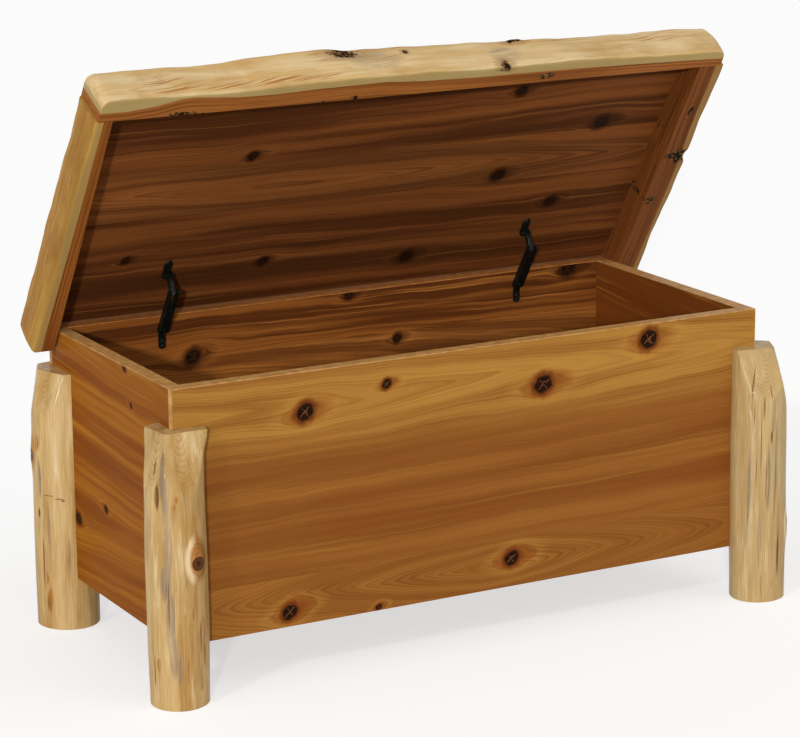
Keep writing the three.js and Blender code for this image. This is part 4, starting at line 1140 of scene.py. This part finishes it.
# Rail tones: light, middle, rubbed and sawn-face sapwood, then light and dark heartwood. The front rail's
# sawn-face tone is darkened to olive as painted shade of its underside.
FRONT_SAP = ((216, 190, 144), (202, 168, 112), (174, 130, 74), (166, 142, 86), (166, 102, 48), (122, 70, 31))
RIGHT_SAP = ((186, 142, 66), (166, 118, 44), (128, 78, 26), (150, 116, 70), (128, 74, 32), (90, 48, 21))
LEFT_SAP = ((180, 139, 64), (158, 114, 45), (124, 76, 25), (168, 138, 82), (156, 94, 40), (116, 64, 25))


def build_wooden_pieces():
    for name, leg in LEGS.items():
        paint(build_leg(name, leg), peeled_log(f"log_{name}", leg, LOG_MARKS[name]))
    paint(build_front_rail(), live_edge_wood("front_edge_wood", RAILS["front"], FRONT_SAP))
    paint(build_side_rail("left", -1), live_edge_wood("left_edge_wood", RAILS["left"], LEFT_SAP))
    paint(build_side_rail("right", 1), live_edge_wood("right_edge_wood", RAILS["right"], RIGHT_SAP))


def build_stays():
    steel = metal("stay_steel", (20, 22, 19), (52, 54, 48), 0.36, 0.35)
    for side, x in STAY_PLACES.items():
        for piece in (build_stay_foot(side, x), build_stay_arm(side, x), build_stay_bracket(side, x)):
            paint(piece, steel)
        paint(f"stay_channel_{side}", steel)
        break_edges(f"stay_channel_{side}", "broken_edges", 0.8 * MM)


# Stage, lamps and camera. The backdrop is white where it is seen or mirrored, and dimmer as a light.
FLOOR_REACH = 40.0
FLOOR_TONE, SEEN_FLOOR_TONE, FLOOR_GLOW = (0.86, 0.86, 0.86, 1), (0.52, 0.52, 0.52, 1), 0.6
SKY_LIGHT, SEEN_SKY_MORE = 0.4, 0.6
# Azimuth, elevation, strength, spread and tone. Azimuth 0 shines from the front, and 90 from the right.
LAMPS = {
    "front_lamp": (-33, 13, 1.7, 2.5, (1, 0.99, 0.97)),
    "side_lamp": (-62, 30, 0.7, 5, (1, 0.98, 0.95)),
    "fill": (40, 45, 0.35, 40, (1, 1, 1)),
    "gleam": (-50, -7, 2.4, 8, (1, 1, 1)),
}
CAMERA_LENS, CAMERA_SENSOR, CAMERA_ROLL = 134.71, 36, -0.355
CAMERA_PLACE, CAMERA_TARGET = (-2.4220, -4.3621, 1.6898), (-0.01454, 0.02011, 0.4267)


def seen_or_mirrored(n):
    """One for what the camera sees, straight or in a glossy or clear surface, and 0 for light on the wood."""
    seen = n.add("ShaderNodeLightPath").outputs
    return n.most(seen["Is Camera Ray"], n.most(seen["Is Glossy Ray"], seen["Is Transmission Ray"]))


def build_floor():
    corners = [(x * FLOOR_REACH, y * FLOOR_REACH, 0) for x, y in ((-1, -1), (1, -1), (1, 1), (-1, 1))]
    floor = new_piece("studio_floor", corners, [(0, 1, 2, 3)])
    material = bpy.data.materials.new("studio_floor")
    material.use_nodes = True
    n = Nodes(material.node_tree)
    material.node_tree.nodes.clear()
    matt, glow, both = (n.add(f"ShaderNode{kind}") for kind in ("BsdfDiffuse", "Emission", "AddShader"))
    shown = seen_or_mirrored(n)
    n.feed(shown * FLOOR_GLOW, glow.inputs["Strength"])
    n.feed(n.mix(shown, FLOOR_TONE, SEEN_FLOOR_TONE), matt.inputs["Color"])
    n.feed(matt.outputs[0], both.inputs[0])
    n.feed(glow.outputs[0], both.inputs[1])
    n.feed(both.outputs[0], n.add("ShaderNodeOutputMaterial").inputs["Surface"])
    floor.data.materials.append(material)
    floor.visible_shadow = False


def add_lamp(name, azimuth, elevation, strength, spread, tone):
    lamp = bpy.data.lights.new(name, "SUN")
    lamp.energy, lamp.angle, lamp.color = strength, math.radians(spread), tone
    holder = link_object(name, lamp)
    holder.visible_diffuse = name != "gleam"
    turn, rise = math.radians(azimuth), math.radians(elevation)
    towards = Vector((-math.sin(turn) * math.cos(rise), math.cos(turn) * math.cos(rise), -math.sin(rise)))
    holder.rotation_euler = towards.to_track_quat("-Z", "Y").to_euler()


def build_light():
    world = bpy.data.worlds.new("studio")
    bpy.context.scene.world = world
    world.use_nodes = True
    n = Nodes(world.node_tree)
    world.node_tree.nodes.clear()
    soft = n.add("ShaderNodeBackground")
    n.feed(seen_or_mirrored(n) * SEEN_SKY_MORE + SKY_LIGHT, soft.inputs["Strength"])
    n.feed(soft.outputs[0], n.add("ShaderNodeOutputWorld").inputs["Surface"])
    soft.inputs["Color"].default_value = (1, 1, 1, 1)
    for name, settings in LAMPS.items():
        add_lamp(name, *settings)


def build_camera():
    """The photograph's view: low, from the left of the front."""
    camera = bpy.data.cameras.new("camera")
    camera.lens, camera.sensor_width, camera.clip_end = CAMERA_LENS, CAMERA_SENSOR, 200
    holder = link_object("camera", camera)
    holder.location = CAMERA_PLACE
    look = (Vector(CAMERA_TARGET) - holder.location).to_track_quat("-Z", "Y").to_matrix()
    holder.rotation_euler = (look @ Matrix.Rotation(math.radians(CAMERA_ROLL), 3, "Z")).to_euler()
    bpy.context.scene.camera = holder


def main():
    build_camera()
    build_floor()
    build_light()
    paint_boards()
    paint_rest()
    soften_boards()
    build_wooden_pieces()
    build_stays()
    bpy.context.scene.view_settings.view_transform = "Standard"
    bpy.context.view_layer.update()


main()
